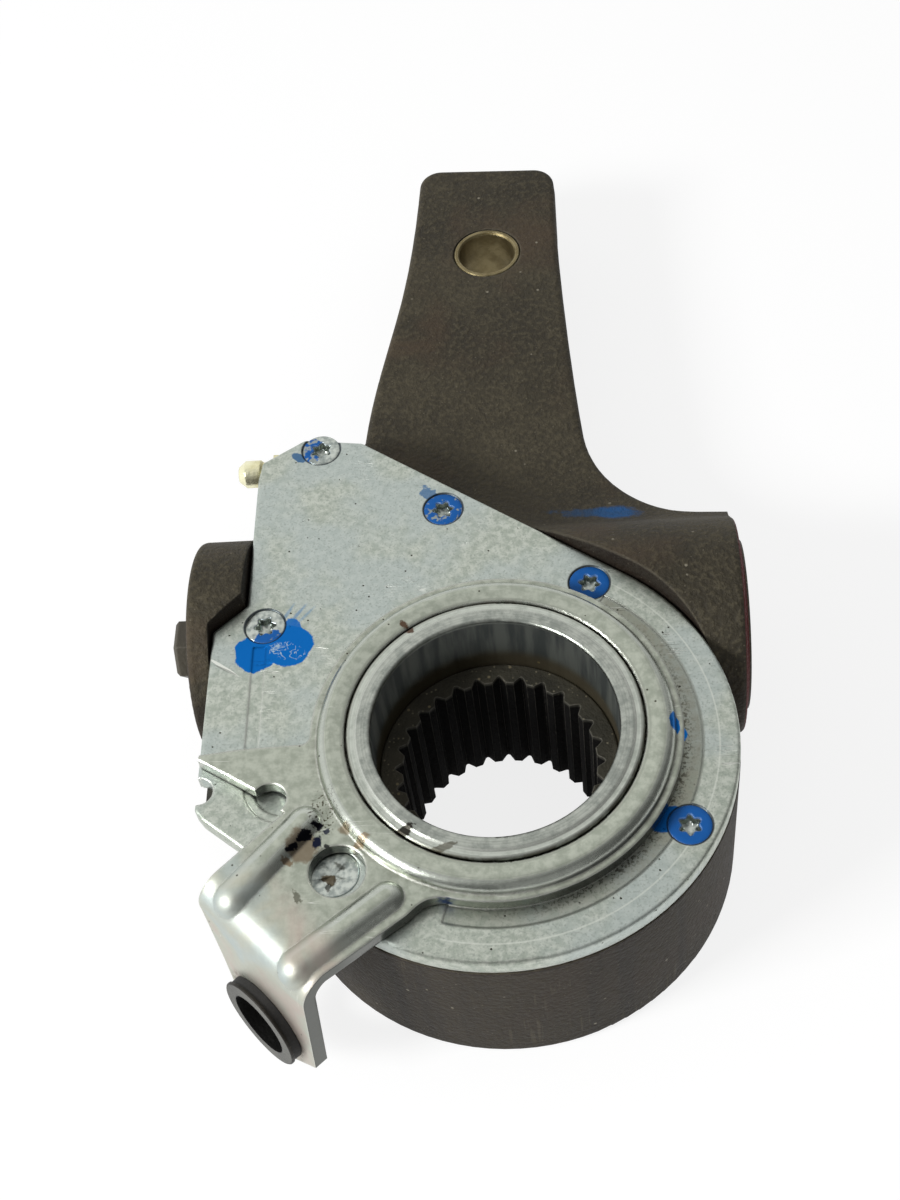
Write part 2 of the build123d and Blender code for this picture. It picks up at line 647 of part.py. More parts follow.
with BuildPart() as thrust_race_inner:
    turn_worm((bearing_x, journal_r + 0.1), (bearing_x, worm_tip_r),
              (bearing_x + race_thickness, worm_tip_r), (bearing_x + race_thickness, journal_r + 0.1))
thrust_race_inner.part.label = "thrust_race_inner"
export_step(thrust_race_inner.part, "parts/thrust_race_inner.step")

ball_ring_r = (journal_r + worm_tip_r + 0.1) / 2
ball_x = bearing_x + race_thickness + ball_r + 0.1
with BuildPart() as thrust_balls:
    with Locations(across(ball_x)):
        with PolarLocations(ball_ring_r, ball_count):
            Sphere(ball_r)
thrust_balls.part.label = "thrust_balls"
export_step(thrust_balls.part, "parts/thrust_balls.step")

with BuildPart() as thrust_cage:
    with BuildSketch(across(ball_x - 0.6)):
        Circle(worm_tip_r - 0.1)
        Circle(journal_r + 0.25, mode=Mode.SUBTRACT)
        with PolarLocations(ball_ring_r, ball_count):
            Circle(ball_r + 0.08, mode=Mode.SUBTRACT)
    extrude(amount=1.2)
thrust_cage.part.label = "thrust_cage"
export_step(thrust_cage.part, "parts/thrust_cage.step")

with BuildPart() as thrust_race_outer:
    turn_worm((race_2_x, journal_r + 0.2), (race_2_x, worm_tip_r), (race_2_x + race_thickness, worm_tip_r),
              (race_2_x + race_thickness, journal_r + 0.2))
thrust_race_outer.part.label = "thrust_race_outer"
export_step(thrust_race_outer.part, "parts/thrust_race_outer.step")

seat_flange_x = max(seat_x + 1.2, spring_bore_x + 0.4)
spring_mean_r = spring_bore_r - 0.6 - spring_wire_r
with BuildPart() as spring_seat:
    turn_worm((seat_x, journal_r + 0.3), (seat_x, worm_tip_r), (seat_flange_x, worm_tip_r),
              (seat_flange_x, spring_bore_r - 0.4), (seat_flange_x + 1.3, spring_bore_r - 0.4),
              (seat_flange_x + 1.3, spring_mean_r - spring_wire_r - 0.3),
              (seat_flange_x + 3.4, spring_mean_r - spring_wire_r - 0.6),
              (seat_flange_x + 3.4, journal_r + 0.3))
spring_seat.part.label = "spring_seat"
export_step(spring_seat.part, "parts/spring_seat.step")

spring_start_x = seat_flange_x + 1.3 + 0.05
spring_space = retainer_seat_x + 0.2 - spring_start_x
with BuildPart() as pressure_spring:
    spring_rise = spring_space - 2 * spring_wire_r - 0.1
    with BuildLine() as spring_path:
        Helix(spring_rise / spring_turns, spring_rise, spring_mean_r,
              center=(spring_start_x + spring_wire_r, worm_y, worm_z), direction=(1, 0, 0))
    with BuildSketch(Plane(origin=spring_path.line @ 0, x_dir=(1, 0, 0), z_dir=(0, -1, 0))) as wire:
        Circle(spring_wire_r)
    sweep(wire.sketch, path=spring_path.line, is_frenet=True)
pressure_spring.part.label = "pressure_spring"
export_step(pressure_spring.part, "parts/pressure_spring.step")

with BuildPart() as bearing_retainer:
    face_x = tube_right_x + 1.0
    groove_x = retainer_seat_x + 2.4
    turn_worm((retainer_seat_x + 0.2, journal_r + fit_gap), (retainer_seat_x + 0.2, retainer_r),
              (groove_x - 1.1, retainer_r), (groove_x - 1.1, retainer_r - 2 * seal_wire_r),
              (groove_x + 1.1, retainer_r - 2 * seal_wire_r), (groove_x + 1.1, retainer_r),
              (face_x - 0.8, retainer_r), (face_x, retainer_r - 0.8), (face_x, 10.0), (face_x - 1.6, 9.0),
              (face_x - 1.6, 0), (shaft_end_x + 0.4, 0), (shaft_end_x + 0.4, journal_r + fit_gap))
    # Two wells for a pin spanner
    with Locations(across(face_x)):
        with PolarLocations(13.0, 2, start_angle=45):
            Cylinder(1.6, 4.0, mode=Mode.SUBTRACT)
bearing_retainer.part.label = "bearing_retainer"
export_step(bearing_retainer.part, "parts/bearing_retainer.step")

with BuildPart() as retainer_seal:
    with Locations(across(groove_x)):
        Torus(retainer_r - seal_wire_r + 0.03, seal_wire_r)
retainer_seal.part.label = "retainer_seal"
export_step(retainer_seal.part, "parts/retainer_seal.step")


# Rack

with BuildPart() as rack:
    with BuildSketch(Plane.YZ.offset(gear_x - rack_width / 2)):
        root_z = rack_pitch_z + 1.25 * gear_module
        with BuildLine():
            Polyline((rack_low_y, root_z - 0.6), (rack_low_y, rack_top_z), (rack_high_y, rack_top_z),
                     (rack_high_y, root_z), (rack_toothed_low_y, root_z), (rack_toothed_low_y, root_z - 0.6),
                     (rack_low_y, root_z - 0.6))
        make_face()
        tooth_pitch = pi * gear_module
        tooth_half = tooth_pitch / 4 - tooth_slack / 2
        count = int((rack_high_y - rack_toothed_low_y - 3) / tooth_pitch)
        middle = round(((rack_high_y + rack_toothed_low_y) / 2 - worm_y) / tooth_pitch - 0.5) + 0.5
        for number in range(count):
            tooth_y = worm_y + (middle + number - (count - 1) // 2) * tooth_pitch
            Polygon((tooth_y - tooth_half - 1.3 * flank_run, root_z + 0.05),
                    (tooth_y - tooth_half + gear_module * flank_run, rack_pitch_z - gear_module),
                    (tooth_y + tooth_half - gear_module * flank_run, rack_pitch_z - gear_module),
                    (tooth_y + tooth_half + 1.3 * flank_run, root_z + 0.05), align=None)
    extrude(amount=rack_width)
    with BuildSketch(Plane.XY.offset(disc_low_z)):
        with Locations((nose_x, 0)):
            Circle(nose_width / 2)
        with Locations(((nose_x + gear_x) / 2, 0)):
            Rectangle(nose_x - gear_x, nose_width)
    extrude(amount=rack_top_z - disc_low_z)
rack.part.label = "rack"
export_step(rack.part, "parts/rack.step")


# Control wheel: sleeve with a slotted disc below and a rolled lip above

sleeve_low_z = wheel_teeth_high_z + free_gap + 0.1
lip_step_r = hub_r - 0.5
with BuildPart() as control_wheel:
    turn_cam((hub_bore_r, sleeve_low_z), (hub_r, sleeve_low_z), (hub_r, disc_low_z), (disc_r, disc_low_z),
             (disc_r, disc_high_z), (hub_r, disc_high_z), (hub_r, lip_low_z), (lip_r, lip_low_z),
             (lip_r, lip_top_z - 0.25), (lip_step_r + 0.2, lip_top_z - 0.25), (lip_step_r, lip_top_z),
             (hub_bore_r, lip_top_z),
             rounds=(((lip_r, lip_top_z - 0.25), 0.5), ((hub_bore_r, lip_top_z), 0.6)))
    with BuildSketch(Plane.XY.offset(disc_low_z - 1)):
        floor_r = hub_r + 1.3
        with Locations((-(floor_r + disc_r) / 2 - 2, 0)):
            Rectangle(disc_r - floor_r + 4, slot_width)
    extrude(amount=disc_high_z - disc_low_z + 2, mode=Mode.SUBTRACT)
control_wheel.part.label = "control_wheel"
export_step(control_wheel.part, "parts/control_wheel.step")


# Control arm: one stamping with a raised ring, a pointer, two beads and a folded lug

out = Vector(cos(radians(arm_angle)), sin(radians(arm_angle)), 0)
side = Vector(-out.Y, out.X, 0)
arm_plane = Plane(origin=(0, 0, arm_low_z), x_dir=out, z_dir=(0, 0, 1))
fold_plane = Plane(origin=(0, 0, 0), x_dir=out, z_dir=-side)
bend_center_z = arm_low_z - bend_radius


def fold_point(radius, angle):
    """Point on the bend, at an angle down from the flat sheet."""
    return (bend_start + radius * sin(radians(angle)), bend_center_z + radius * cos(radians(angle)))


lug_down = Vector(fold_plane.x_dir * cos(radians(bend_angle)) - Vector(0, 0, 1) * sin(radians(bend_angle)))
lug_in = fold_point(bend_radius, bend_angle)
lug_out = fold_point(bend_radius + sheet, bend_angle)
lug_plane = Plane(origin=out * lug_out[0] + Vector(0, 0, lug_out[1]), x_dir=side,
                  z_dir=side.cross(lug_down) * -1)

pointer_x = ear_x + 0.4
with BuildPart() as control_arm:
    # Flat sheet: ring, pointer and arm
    with BuildSketch(Plane.XY.offset(arm_low_z)):
        Circle(arm_flange_r)
        with Locations(Location((0, 0, 0), (0, 0, arm_angle))):
            Polygon((hub_r - 5.6, arm_left), (bend_start, arm_left), (bend_start, arm_right_fold),
                    (arm_flange_r + 2.2, arm_right_root), (hub_r - 5.6, arm_right_root), align=None)
        with BuildLine() as pointer:
            Polyline((5.8 - arm_flange_r, 6.0), (0.8 - arm_flange_r, -1.2), (pointer_x + 7.7, -1.8),
                     (pointer_x + 0.3, -2.7), (pointer_x, -3.6), (pointer_x + 8.2, -8.6),
                     (pointer_x + 11.2, -10.5), (pointer_x + 16.4, -15.0), (5.8 - arm_flange_r, -16.0),
                     (13.8 - arm_flange_r, 0.0), (5.8 - arm_flange_r, 6.0))
        make_face(pointer.edges())
        with Locations((pointer_x + 13.7, -12.4)):
            Circle(3.2, mode=Mode.SUBTRACT)
        root_corner = (-sqrt(arm_flange_r ** 2 - 1), -1, 0)
        arm_corner = polar(arm_flange_r + 1.2, arm_angle + 23.5)
        for near, radius in ((root_corner, 1.6), (arm_corner, 6.0)):
            fillet(vertices().sort_by_distance(near)[0], radius)
    extrude(amount=sheet)
    # Ring pressed up into a crown, with its inner rim under the lip
    turn_cam((crown_inner_r - 1, arm_low_z), (crown_r, arm_low_z), (crown_r, crown_top_z),
             (crown_r - crown_width / 2, crown_top_z), (crown_inner_r, crown_top_z - 0.4),
             (crown_inner_r, lip_low_z - 0.4), (crown_inner_r - 1, lip_low_z - 0.4),
             rounds=(((crown_r, crown_top_z), crown_round), ((crown_inner_r, crown_top_z - 0.4), 0.4)))
    turn_cam((crown_inner_r + 1.2, arm_low_z - 1), (crown_r - 1.2, arm_low_z - 1),
             (crown_r - 1.2, crown_top_z - sheet * 0.9), (crown_inner_r + 1.2, crown_top_z - sheet * 0.9),
             mode=Mode.SUBTRACT)
    turn_cam((0, arm_low_z - 1), (hub_r + fit_gap, arm_low_z - 1), (hub_r + fit_gap, crown_top_z + 1),
             (0, crown_top_z + 1), mode=Mode.SUBTRACT)
    turn_cam((0, lip_low_z - 0.15), (crown_inner_r, lip_low_z - 0.15), (crown_inner_r, crown_top_z + 1),
             (0, crown_top_z + 1), mode=Mode.SUBTRACT)
    # Two stiffening beads along the arm
    bead_r = ((bead_width / 2) ** 2 + bead_height ** 2) / (2 * bead_height)
    bead_z = sheet + bead_height - bead_r
    bead_runs = (((arm_flange_r + 2.2, arm_left + 4.0), (bend_start + 1.0, arm_left + 5.7)),
                 ((arm_flange_r + 2.2, arm_right_root - 4.9), (bend_start + 1.6, arm_right_fold - 4.6)))
    for (near_out, near_side), (far_out, far_side) in bead_runs:
        bead_from = arm_plane.from_local_coords((near_out, near_side, bead_z))
        bead_to = arm_plane.from_local_coords((far_out, far_side, bead_z))
        bead_run = Vector(bead_to) - Vector(bead_from)
        with BuildSketch(Plane(origin=bead_from, z_dir=bead_run)):
            Circle(bead_r)
        extrude(amount=bead_run.length)
        with Locations(bead_from, bead_to):
            Sphere(bead_r)
    with BuildSketch(Plane.XY.offset(arm_low_z - bead_r)):
        Circle(2 * bend_start)
    extrude(amount=bead_r, mode=Mode.SUBTRACT)
    # Bend and lug
    with BuildSketch(fold_plane.offset(-arm_right_fold)):
        with BuildLine():
            slope = (cos(radians(bend_angle)), -sin(radians(bend_angle)))
            inner_end = (lug_in[0] + lug_length * slope[0], lug_in[1] + lug_length * slope[1])
            outer_end = (lug_out[0] + lug_length * slope[0], lug_out[1] + lug_length * slope[1])
            Line((bend_start - 1, arm_low_z), (bend_start, arm_low_z))
            ThreePointArc((bend_start, arm_low_z), fold_point(bend_radius, bend_angle / 2), lug_in)
            Polyline(lug_in, inner_end, outer_end, lug_out)
            ThreePointArc(lug_out, fold_point(bend_radius + sheet, bend_angle / 2), (bend_start, arm_top_z))
            Polyline((bend_start, arm_top_z), (bend_start - 1, arm_top_z), (bend_start - 1, arm_low_z))
        make_face()
    extrude(amount=arm_right_fold - arm_left)
    with BuildSketch(lug_plane):
        with Locations((0, -lug_length / 2 - 2)):
            Rectangle(4 * lug_flange_r, lug_length + 2)
        Polygon((arm_left, 0), (arm_left + 3.9, -lug_hole_drop + 7), (arm_left + 6.5, -lug_length + 3.8),
                (arm_left + 11.5, -lug_length), (arm_right_fold - 6.5, -lug_length),
                (arm_right_fold, -lug_hole_drop - 2.5), (arm_right_fold, 0), align=None, mode=Mode.SUBTRACT)
        with Locations((0, -lug_hole_drop)):
            Circle(lug_hole_r)
    extrude(amount=-2 * sheet, both=True, mode=Mode.SUBTRACT)
    # Access hole over one cover screw
    with Locations(Plane(origin=arm_plane.from_local_coords((access_hole_out, 0, 0)))):
        Cylinder(access_hole_r, 4 * sheet, mode=Mode.SUBTRACT)
control_arm.part.label = "control_arm"
export_step(control_arm.part, "parts/control_arm.step")


def turn_lug(*profile):
    """Turned solid on the axis of the lug's hole: each point is a radius and a way out of the lug."""
    hole_plane = Plane(origin=lug_plane.from_local_coords((0, -lug_hole_drop, 0)),
                       x_dir=lug_plane.x_dir, z_dir=lug_plane.y_dir * -1)
    with BuildSketch(hole_plane) as section:
        Polygon(*profile, align=None)
    revolve(section.sketch, axis=Axis(hole_plane.origin, lug_plane.z_dir))


sleeve_wall = 0.6
sleeve_r = lug_bore_r + sleeve_wall
grommet_top = lug_flange_out - sleeve_wall - 0.1
with BuildPart() as lug_grommet:
    turn_lug((sleeve_r + 0.05, -sheet - 1.6), (lug_flange_r - 0.9, -sheet - 1.6),
             (lug_flange_r - 0.4, -sheet - 0.1), (lug_hole_r - 0.1, -sheet - 0.1), (lug_hole_r - 0.1, 0.1),
             (lug_flange_r - 0.2, 0.1),
             (lug_flange_r - 0.3, grommet_top), (sleeve_r + 0.05, grommet_top))
lug_grommet.part.label = "lug_grommet"
export_step(lug_grommet.part, "parts/lug_grommet.step")

with BuildPart() as lug_sleeve:
    turn_lug((lug_bore_r, -sheet - 2.0), (sleeve_r, -sheet - 2.0), (sleeve_r, lug_flange_out - sleeve_wall),
             (lug_flange_r, lug_flange_out - sleeve_wall), (lug_flange_r, lug_flange_out - 0.2),
             (lug_flange_r - 0.2, lug_flange_out), (lug_bore_r, lug_flange_out))
lug_sleeve.part.label = "lug_sleeve"
export_step(lug_sleeve.part, "parts/lug_sleeve.step")


# Grease fitting, pointing out to the left under the corner of the cover

with BuildPart() as grease_fitting:
    fitting_plane = Plane(origin=(fitting_wall_x, fitting_y, fitting_z), x_dir=(-1, 0, 0), z_dir=(0, -1, 0))
    with BuildSketch(fitting_plane):
        Polygon((-4.5, 0.8), (-4.5, fitting_thread_r - 0.4), (-4.1, fitting_thread_r),
                (3.2, fitting_thread_r), (3.8, 2.4), (5.6, 2.4), (6.2, 2.9), (9.4, 2.9), (10.9, 1.7),
                (10.9, 0.8), align=None)
    revolve(axis=Axis(fitting_plane.origin, (1, 0, 0)))
    with BuildSketch(Plane.YZ.offset(fitting_wall_x - 0.05)):
        with Locations((fitting_y, fitting_z)):
            RegularPolygon(3.5, 6, major_radius=False)
            Circle(2, mode=Mode.SUBTRACT)
    extrude(amount=-3.2)
grease_fitting.part.label = "grease_fitting"
export_step(grease_fitting.part, "parts/grease_fitting.step")
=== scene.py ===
# %% [markdown]
# # An automatic brake slack adjuster, dressed for its portrait
# The imported model already has every piece at its true size, so this notebook adds only what a
# file of plain solids can't carry: paint, plating, grime with painted shade, star recesses and light.
# The first step is to load that model as a fixed frame.

# %% Load the frame
import math

import bmesh
import bpy
from mathutils import Matrix, Vector


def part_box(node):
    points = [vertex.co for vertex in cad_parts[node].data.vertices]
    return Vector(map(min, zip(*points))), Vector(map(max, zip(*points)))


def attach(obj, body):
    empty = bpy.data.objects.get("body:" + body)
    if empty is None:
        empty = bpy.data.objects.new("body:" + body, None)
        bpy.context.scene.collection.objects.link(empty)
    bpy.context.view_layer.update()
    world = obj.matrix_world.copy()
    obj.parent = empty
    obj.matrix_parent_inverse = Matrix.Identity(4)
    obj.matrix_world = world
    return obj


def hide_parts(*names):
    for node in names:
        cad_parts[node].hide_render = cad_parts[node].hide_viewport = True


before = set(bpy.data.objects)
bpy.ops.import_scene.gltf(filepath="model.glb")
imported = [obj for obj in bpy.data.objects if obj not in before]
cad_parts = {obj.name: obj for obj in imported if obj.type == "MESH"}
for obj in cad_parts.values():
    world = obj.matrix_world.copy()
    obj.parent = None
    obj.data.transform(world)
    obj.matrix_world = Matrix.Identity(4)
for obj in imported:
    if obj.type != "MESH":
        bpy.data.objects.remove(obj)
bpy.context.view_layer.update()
mm = 0.001

# %% [markdown]
# A camera is described by where it stands, where it looks and how long its lens is. The place
# below is that of the photograph: a little right of the camshaft, in front of the barrel and
# high above it, so the lever runs away from us and shrinks. A turn matrix is built from three
# directions, which is safer than typing angles: right, up, and backwards out of the lens.

# %% Stand the camera
eye = Vector((18.197, -166.967, 315.375)) * mm
look_along = Vector((-0.07860, 0.58115, -0.80999)).normalized()
up_hint = Vector((0.04765, 0.81376, 0.57924))
right = look_along.cross(up_hint).normalized()
up = right.cross(look_along)
lens = bpy.data.cameras.new("portrait_camera")
lens.sensor_width = 36
lens.lens = 53.31
lens.clip_start = 0.01
camera = bpy.data.objects.new("portrait_camera", lens)
turn = Matrix((right, up, -look_along)).transposed().to_4x4()
camera.matrix_world = Matrix.Translation(eye) @ turn
bpy.context.collection.objects.link(camera)
bpy.context.scene.camera = camera
bpy.context.scene.view_settings.view_transform = "Standard"
print("camera stands", round(eye.length, 3), "m from the camshaft's foot")

# %% [markdown]
# Every material below is a small network of nodes, and a few helpers keep the networks
# readable. The first adds a node and fills its inputs. The others are arithmetic, on numbers
# and on vectors, and soft steps, which turn a value into a mask between 0 and 1.

# %% Helpers for values
def shader_node(tree, kind, feeds=None, **settings):
    """Adds a node, sets its options, and fills inputs with values or with other nodes' outputs."""
    made = tree.nodes.new(kind)
    for name, value in settings.items():
        setattr(made, name, value)
    for key, value in (feeds or {}).items():
        if isinstance(value, bpy.types.NodeSocket):
            tree.links.new(value, made.inputs[key])
        else:
            made.inputs[key].default_value = value
    return made


def calc(tree, operation, *values, clamp=False):
    """Arithmetic on numbers and sockets."""
    feeds = dict(enumerate(values))
    return shader_node(tree, "ShaderNodeMath", feeds, operation=operation, use_clamp=clamp).outputs[0]


def product(tree, *values):
    """Multiplies numbers and sockets."""
    result = values[0]
    for value in values[1:]:
        result = calc(tree, "MULTIPLY", result, value)
    return result


def vector_calc(tree, operation, *vectors):
    """Arithmetic on places and directions. A length or a dot product comes out as a number."""
    made = shader_node(tree, "ShaderNodeVectorMath", dict(enumerate(vectors)), operation=operation)
    return made.outputs["Value" if operation in ("LENGTH", "DOT_PRODUCT") else "Vector"]


def soft_step(tree, value, low, high):
    """0 below low, 1 above high, and a smooth rise between them. It falls if low is above high."""
    feeds = {"Value": value, "From Min": low, "From Max": high}
    return shader_node(tree, "ShaderNodeMapRange", feeds, interpolation_type="SMOOTHSTEP").outputs[0]


def step_mm(tree, value, low, high):
    """A soft step of a length, with both ends in millimetres."""
    return soft_step(tree, value, low * mm, high * mm)


def line_at(tree, value, level, edge, core):
    """A line where a value passes a level: 1 nearer than the core, 0 farther than the edge."""
    off = calc(tree, "ABSOLUTE", calc(tree, "SUBTRACT", value, level))
    return soft_step(tree, off, edge, core)


def remap(tree, value, low, high):
    """Turns 0 to 1 into low to high."""
    feeds = {"Value": value, "To Min": low, "To Max": high}
    return shader_node(tree, "ShaderNodeMapRange", feeds).outputs[0]


print("value helpers ready")

# %% [markdown]
# Colours are easier to read off a screen than to guess in linear light, so one helper converts
# screen values. A finish is then painted like a real one, from the ground up: each coat has a
# mask that says where it lies, a strength, and a tone.

# %% Helpers for colours
def blend_colour(tree, share, first, second):
    """Mixes two colours, or a colour into a socket's colour, by a share from 0 to 1."""
    feeds = {0: share, 6: first, 7: second}
    return shader_node(tree, "ShaderNodeMix", feeds, data_type="RGBA").outputs[2]


def screen(*tone):
    """A colour as a screen shows it, from 0 to 255, turned into the linear values that nodes use."""
    parts = [c / 255 for c in tone]
    linear = [part / 12.92 if part < 0.0404 else ((part + 0.055) / 1.055) ** 2.4 for part in parts]
    return (*linear, 1.0)


def tones(tree, share, first, second):
    """Mixes two screen tones."""
    return blend_colour(tree, share, screen(*first), screen(*second))


def paint_over(tree, colour, *coats):
    """Lays coats over a colour. Each is a mask, a strength, and a screen tone or a colour socket."""
    for mask, strength, tone in coats:
        share = mask if strength == 1.0 else product(tree, mask, strength)
        coat = tone if isinstance(tone, bpy.types.NodeSocket) else screen(*tone)
        colour = blend_colour(tree, share, colour, coat)
    return colour


print("mid grey on a screen is", round(screen(128, 128, 128)[0], 3), "in linear light")

# %% [markdown]
# A pattern needs a place to start from. Object coordinates are the piece's own metres, so a
# pattern travels with its piece. Noise is the pattern that is used most: its scale says how
# many blobs fit in a metre, and its detail how many finer layers lie on them.

# %% Helpers for places and patterns
def object_place(tree):
    """Places on a piece, in metres in its own frame."""
    return shader_node(tree, "ShaderNodeTexCoord").outputs["Object"]


def object_normal(tree):
    """The way that a surface looks, in the piece's own frame."""
    return shader_node(tree, "ShaderNodeTexCoord").outputs["Normal"]


def split(tree, vector):
    """The x, y and z of a vector."""
    return shader_node(tree, "ShaderNodeSeparateXYZ", {0: vector}).outputs


def noise(tree, place, scale, detail, roughness=0.5, distortion=0.0):
    """A soft random pattern between 0 and 1."""
    feeds = {"Vector": place, "Scale": scale, "Detail": detail, "Roughness": roughness,
             "Distortion": distortion}
    return shader_node(tree, "ShaderNodeTexNoise", feeds).outputs[0]


def lone_cells(tree, place, scale, share):
    """A mask of the few cells that are picked, and the distance to each cell's centre."""
    cells = shader_node(tree, "ShaderNodeTexVoronoi", {"Vector": place, "Scale": scale})
    lone = shader_node(tree, "ShaderNodeSeparateColor", {0: cells.outputs["Color"]})
    return calc(tree, "LESS_THAN", lone.outputs[0], share), cells.outputs["Distance"]


def drawn_out(tree, place, squeeze):
    """Places that are squeezed along z, so that a pattern on them runs up and down."""
    return shader_node(tree, "ShaderNodeMapping", {"Vector": place, "Scale": (1.0, 1.0, squeeze)}).outputs[0]


print("pattern helpers ready")

# %% [markdown]
# Some effects are shared by many materials, so each is built once as a node group with named
# inputs and outputs. A group is like a function: the material places it and gives it its own
# values. Only masks, heights, colours and normals come out, and the shader stays outside.

# %% Helpers for groups
FLOAT = "NodeSocketFloat"
VECTOR = "NodeSocketVector"


def open_group(name, inputs, outputs):
    """Makes a group with float or vector sockets, and returns its tree, its inputs and its exit."""
    tree = bpy.data.node_groups.new(name, "ShaderNodeTree")
    for label, value in inputs.items():
        kind = VECTOR if isinstance(value, tuple) or value is None else FLOAT
        socket = tree.interface.new_socket(name=label, in_out="INPUT", socket_type=kind)
        if value is not None:
            socket.default_value = value
    for label, kind in outputs.items():
        tree.interface.new_socket(name=label, in_out="OUTPUT", socket_type=kind)
    entry = tree.nodes.new("NodeGroupInput")
    exit_node = tree.nodes.new("NodeGroupOutput")
    return tree, entry.outputs, exit_node


def close_group(tree, exit_node, results):
    """Wires a group's results to its exit, and returns the group."""
    for label, socket in results.items():
        tree.links.new(socket, exit_node.inputs[label])
    print(tree.name, "has", len(tree.nodes), "nodes")
    return tree


def use_group(tree, group, **feeds):
    """Puts a group into a material, feeds it and returns its outputs. Underscores stand for spaces."""
    named = {key.replace("_", " "): value for key, value in feeds.items()}
    return shader_node(tree, "ShaderNodeGroup", named, node_tree=group).outputs


print("group helpers ready")

# %% [markdown]
# **Casting skin.** Sand-cast iron is never smooth: it has slow patches of tone, a grain about a
# millimetre across, and bright flecks where grit sat in the paint. Noise at two scales and a
# sparse cell pattern give all three. The height goes to a Bump node in the material.

# %% Casting skin group
tree, entry, exit_node = open_group(
    "casting_skin", {"Place": None, "Grain": 900.0, "Fleck share": 0.1},
    {"Tone": FLOAT, "Fleck": FLOAT, "Height": FLOAT})
patches = noise(tree, entry["Place"], 48.0, 5.0, 0.62)
grain = noise(tree, entry["Place"], entry["Grain"], 4.0, 0.6)
chosen, distance = lone_cells(tree, entry["Place"], 520.0, entry["Fleck share"])
casting_skin = close_group(tree, exit_node, {
    "Tone": soft_step(tree, patches, 0.32, 0.68),
    "Fleck": product(tree, chosen, soft_step(tree, distance, 0.2, 0.1)),
    "Height": grain})

# %% [markdown]
# **Edge wear.** Paint and plating go first where a corner is handled. A Bevel node gives the
# normal that a rounded edge would have; where that differs from the true normal, an edge is
# near. The same rounded normal also goes out, so hard CAD edges catch a thin line of light.

# %% Edge wear group
tree, entry, exit_node = open_group(
    "edge_wear", {"Place": None, "Width": 0.0006, "Raggedness": 0.5}, {"Mask": FLOAT, "Rounded": VECTOR})
rounded = shader_node(tree, "ShaderNodeBevel", {"Radius": entry["Width"]}, samples=6).outputs[0]
facing = shader_node(tree, "ShaderNodeNewGeometry").outputs["Normal"]
near_edge = soft_step(tree, vector_calc(tree, "DOT_PRODUCT", rounded, facing), 0.985, 0.86)
kept = product(tree, entry["Raggedness"], noise(tree, entry["Place"], 900.0, 3.0))
edge_wear = close_group(tree, exit_node, {
    "Mask": calc(tree, "SUBTRACT", near_edge, kept, clamp=True),
    "Rounded": rounded})

# %% [markdown]
# **Scratches.** A scratch is a long thin mark, so the pattern's coordinates are squeezed along
# one direction and only a narrow band of the noise is kept. A second, slower noise decides
# where scratches are at all, because they come in patches.

# %% Scratches group
tree, entry, exit_node = open_group(
    "scratches", {"Place": None, "Turn": (0.0, 0.0, 0.5), "Share": 0.5}, {"Mask": FLOAT})
squeezed = shader_node(tree, "ShaderNodeMapping", {
    "Vector": entry["Place"], "Rotation": entry["Turn"], "Scale": (28.0, 620.0, 28.0)})
threads = noise(tree, squeezed.outputs[0], 1.0, 1.0)
patches = noise(tree, entry["Place"], 130.0, 2.0)
lifted = calc(tree, "ADD", patches, product(tree, entry["Share"], 0.3))
scratches = close_group(tree, exit_node, {
    "Mask": product(tree, line_at(tree, threads, 0.5, 0.011, 0.003), soft_step(tree, lifted, 0.66, 0.74))})

# %% [markdown]
# **Pits.** Zinc plate that has lain about shows dark pinholes. A cell pattern gives each cell a
# centre and a random colour: the centre is the pit, and the random colour picks the few cells
# that have one.

# %% Pits group
tree, entry, exit_node = open_group(
    "pits", {"Place": None, "Cells": 700.0, "Share": 0.1, "Size": 0.25}, {"Mask": FLOAT})
chosen, distance = lone_cells(tree, entry["Place"], entry["Cells"], entry["Share"])
rim = product(tree, entry["Size"], 0.5)
pits = close_group(tree, exit_node, {
    "Mask": product(tree, chosen, soft_step(tree, distance, entry["Size"], rim))})

# %% [markdown]
# **Dabs.** The screws are sealed with dabs of blue paint, and old grease sits in blots. Both
# are a distance from a point, pushed in and out by noise so that the rim is ragged. The turn
# and the squash make a dab longer one way than the other, like a stroke of a brush, and the
# softness says whether it ends sharply, like paint, or fades, like a wiped smear.

# %% Dab group
tree, entry, exit_node = open_group(
    "dab", {"Place": None, "Center": (0.0, 0.0, 0.0), "Turn": 0.0, "Squash": (1.0, 1.0, 0.0), "Radius": 0.005,
            "Raggedness": 0.003, "Grain": 260.0, "Softness": 0.00018}, {"Mask": FLOAT})
away = vector_calc(tree, "SUBTRACT", entry["Place"], entry["Center"])
turned = shader_node(tree, "ShaderNodeVectorRotate", {"Vector": away, "Angle": entry["Turn"]},
                     rotation_type="Z_AXIS")
reach = vector_calc(tree, "LENGTH", vector_calc(tree, "MULTIPLY", turned.outputs[0], entry["Squash"]))
rough = noise(tree, entry["Place"], entry["Grain"], 5.0, 0.65)
push = product(tree, calc(tree, "SUBTRACT", rough, 0.5), entry["Raggedness"])
depth = calc(tree, "SUBTRACT", calc(tree, "ADD", reach, push), entry["Radius"])
inward = product(tree, entry["Softness"], -1.0)
dab = close_group(tree, exit_node, {"Mask": soft_step(tree, depth, entry["Softness"], inward)})


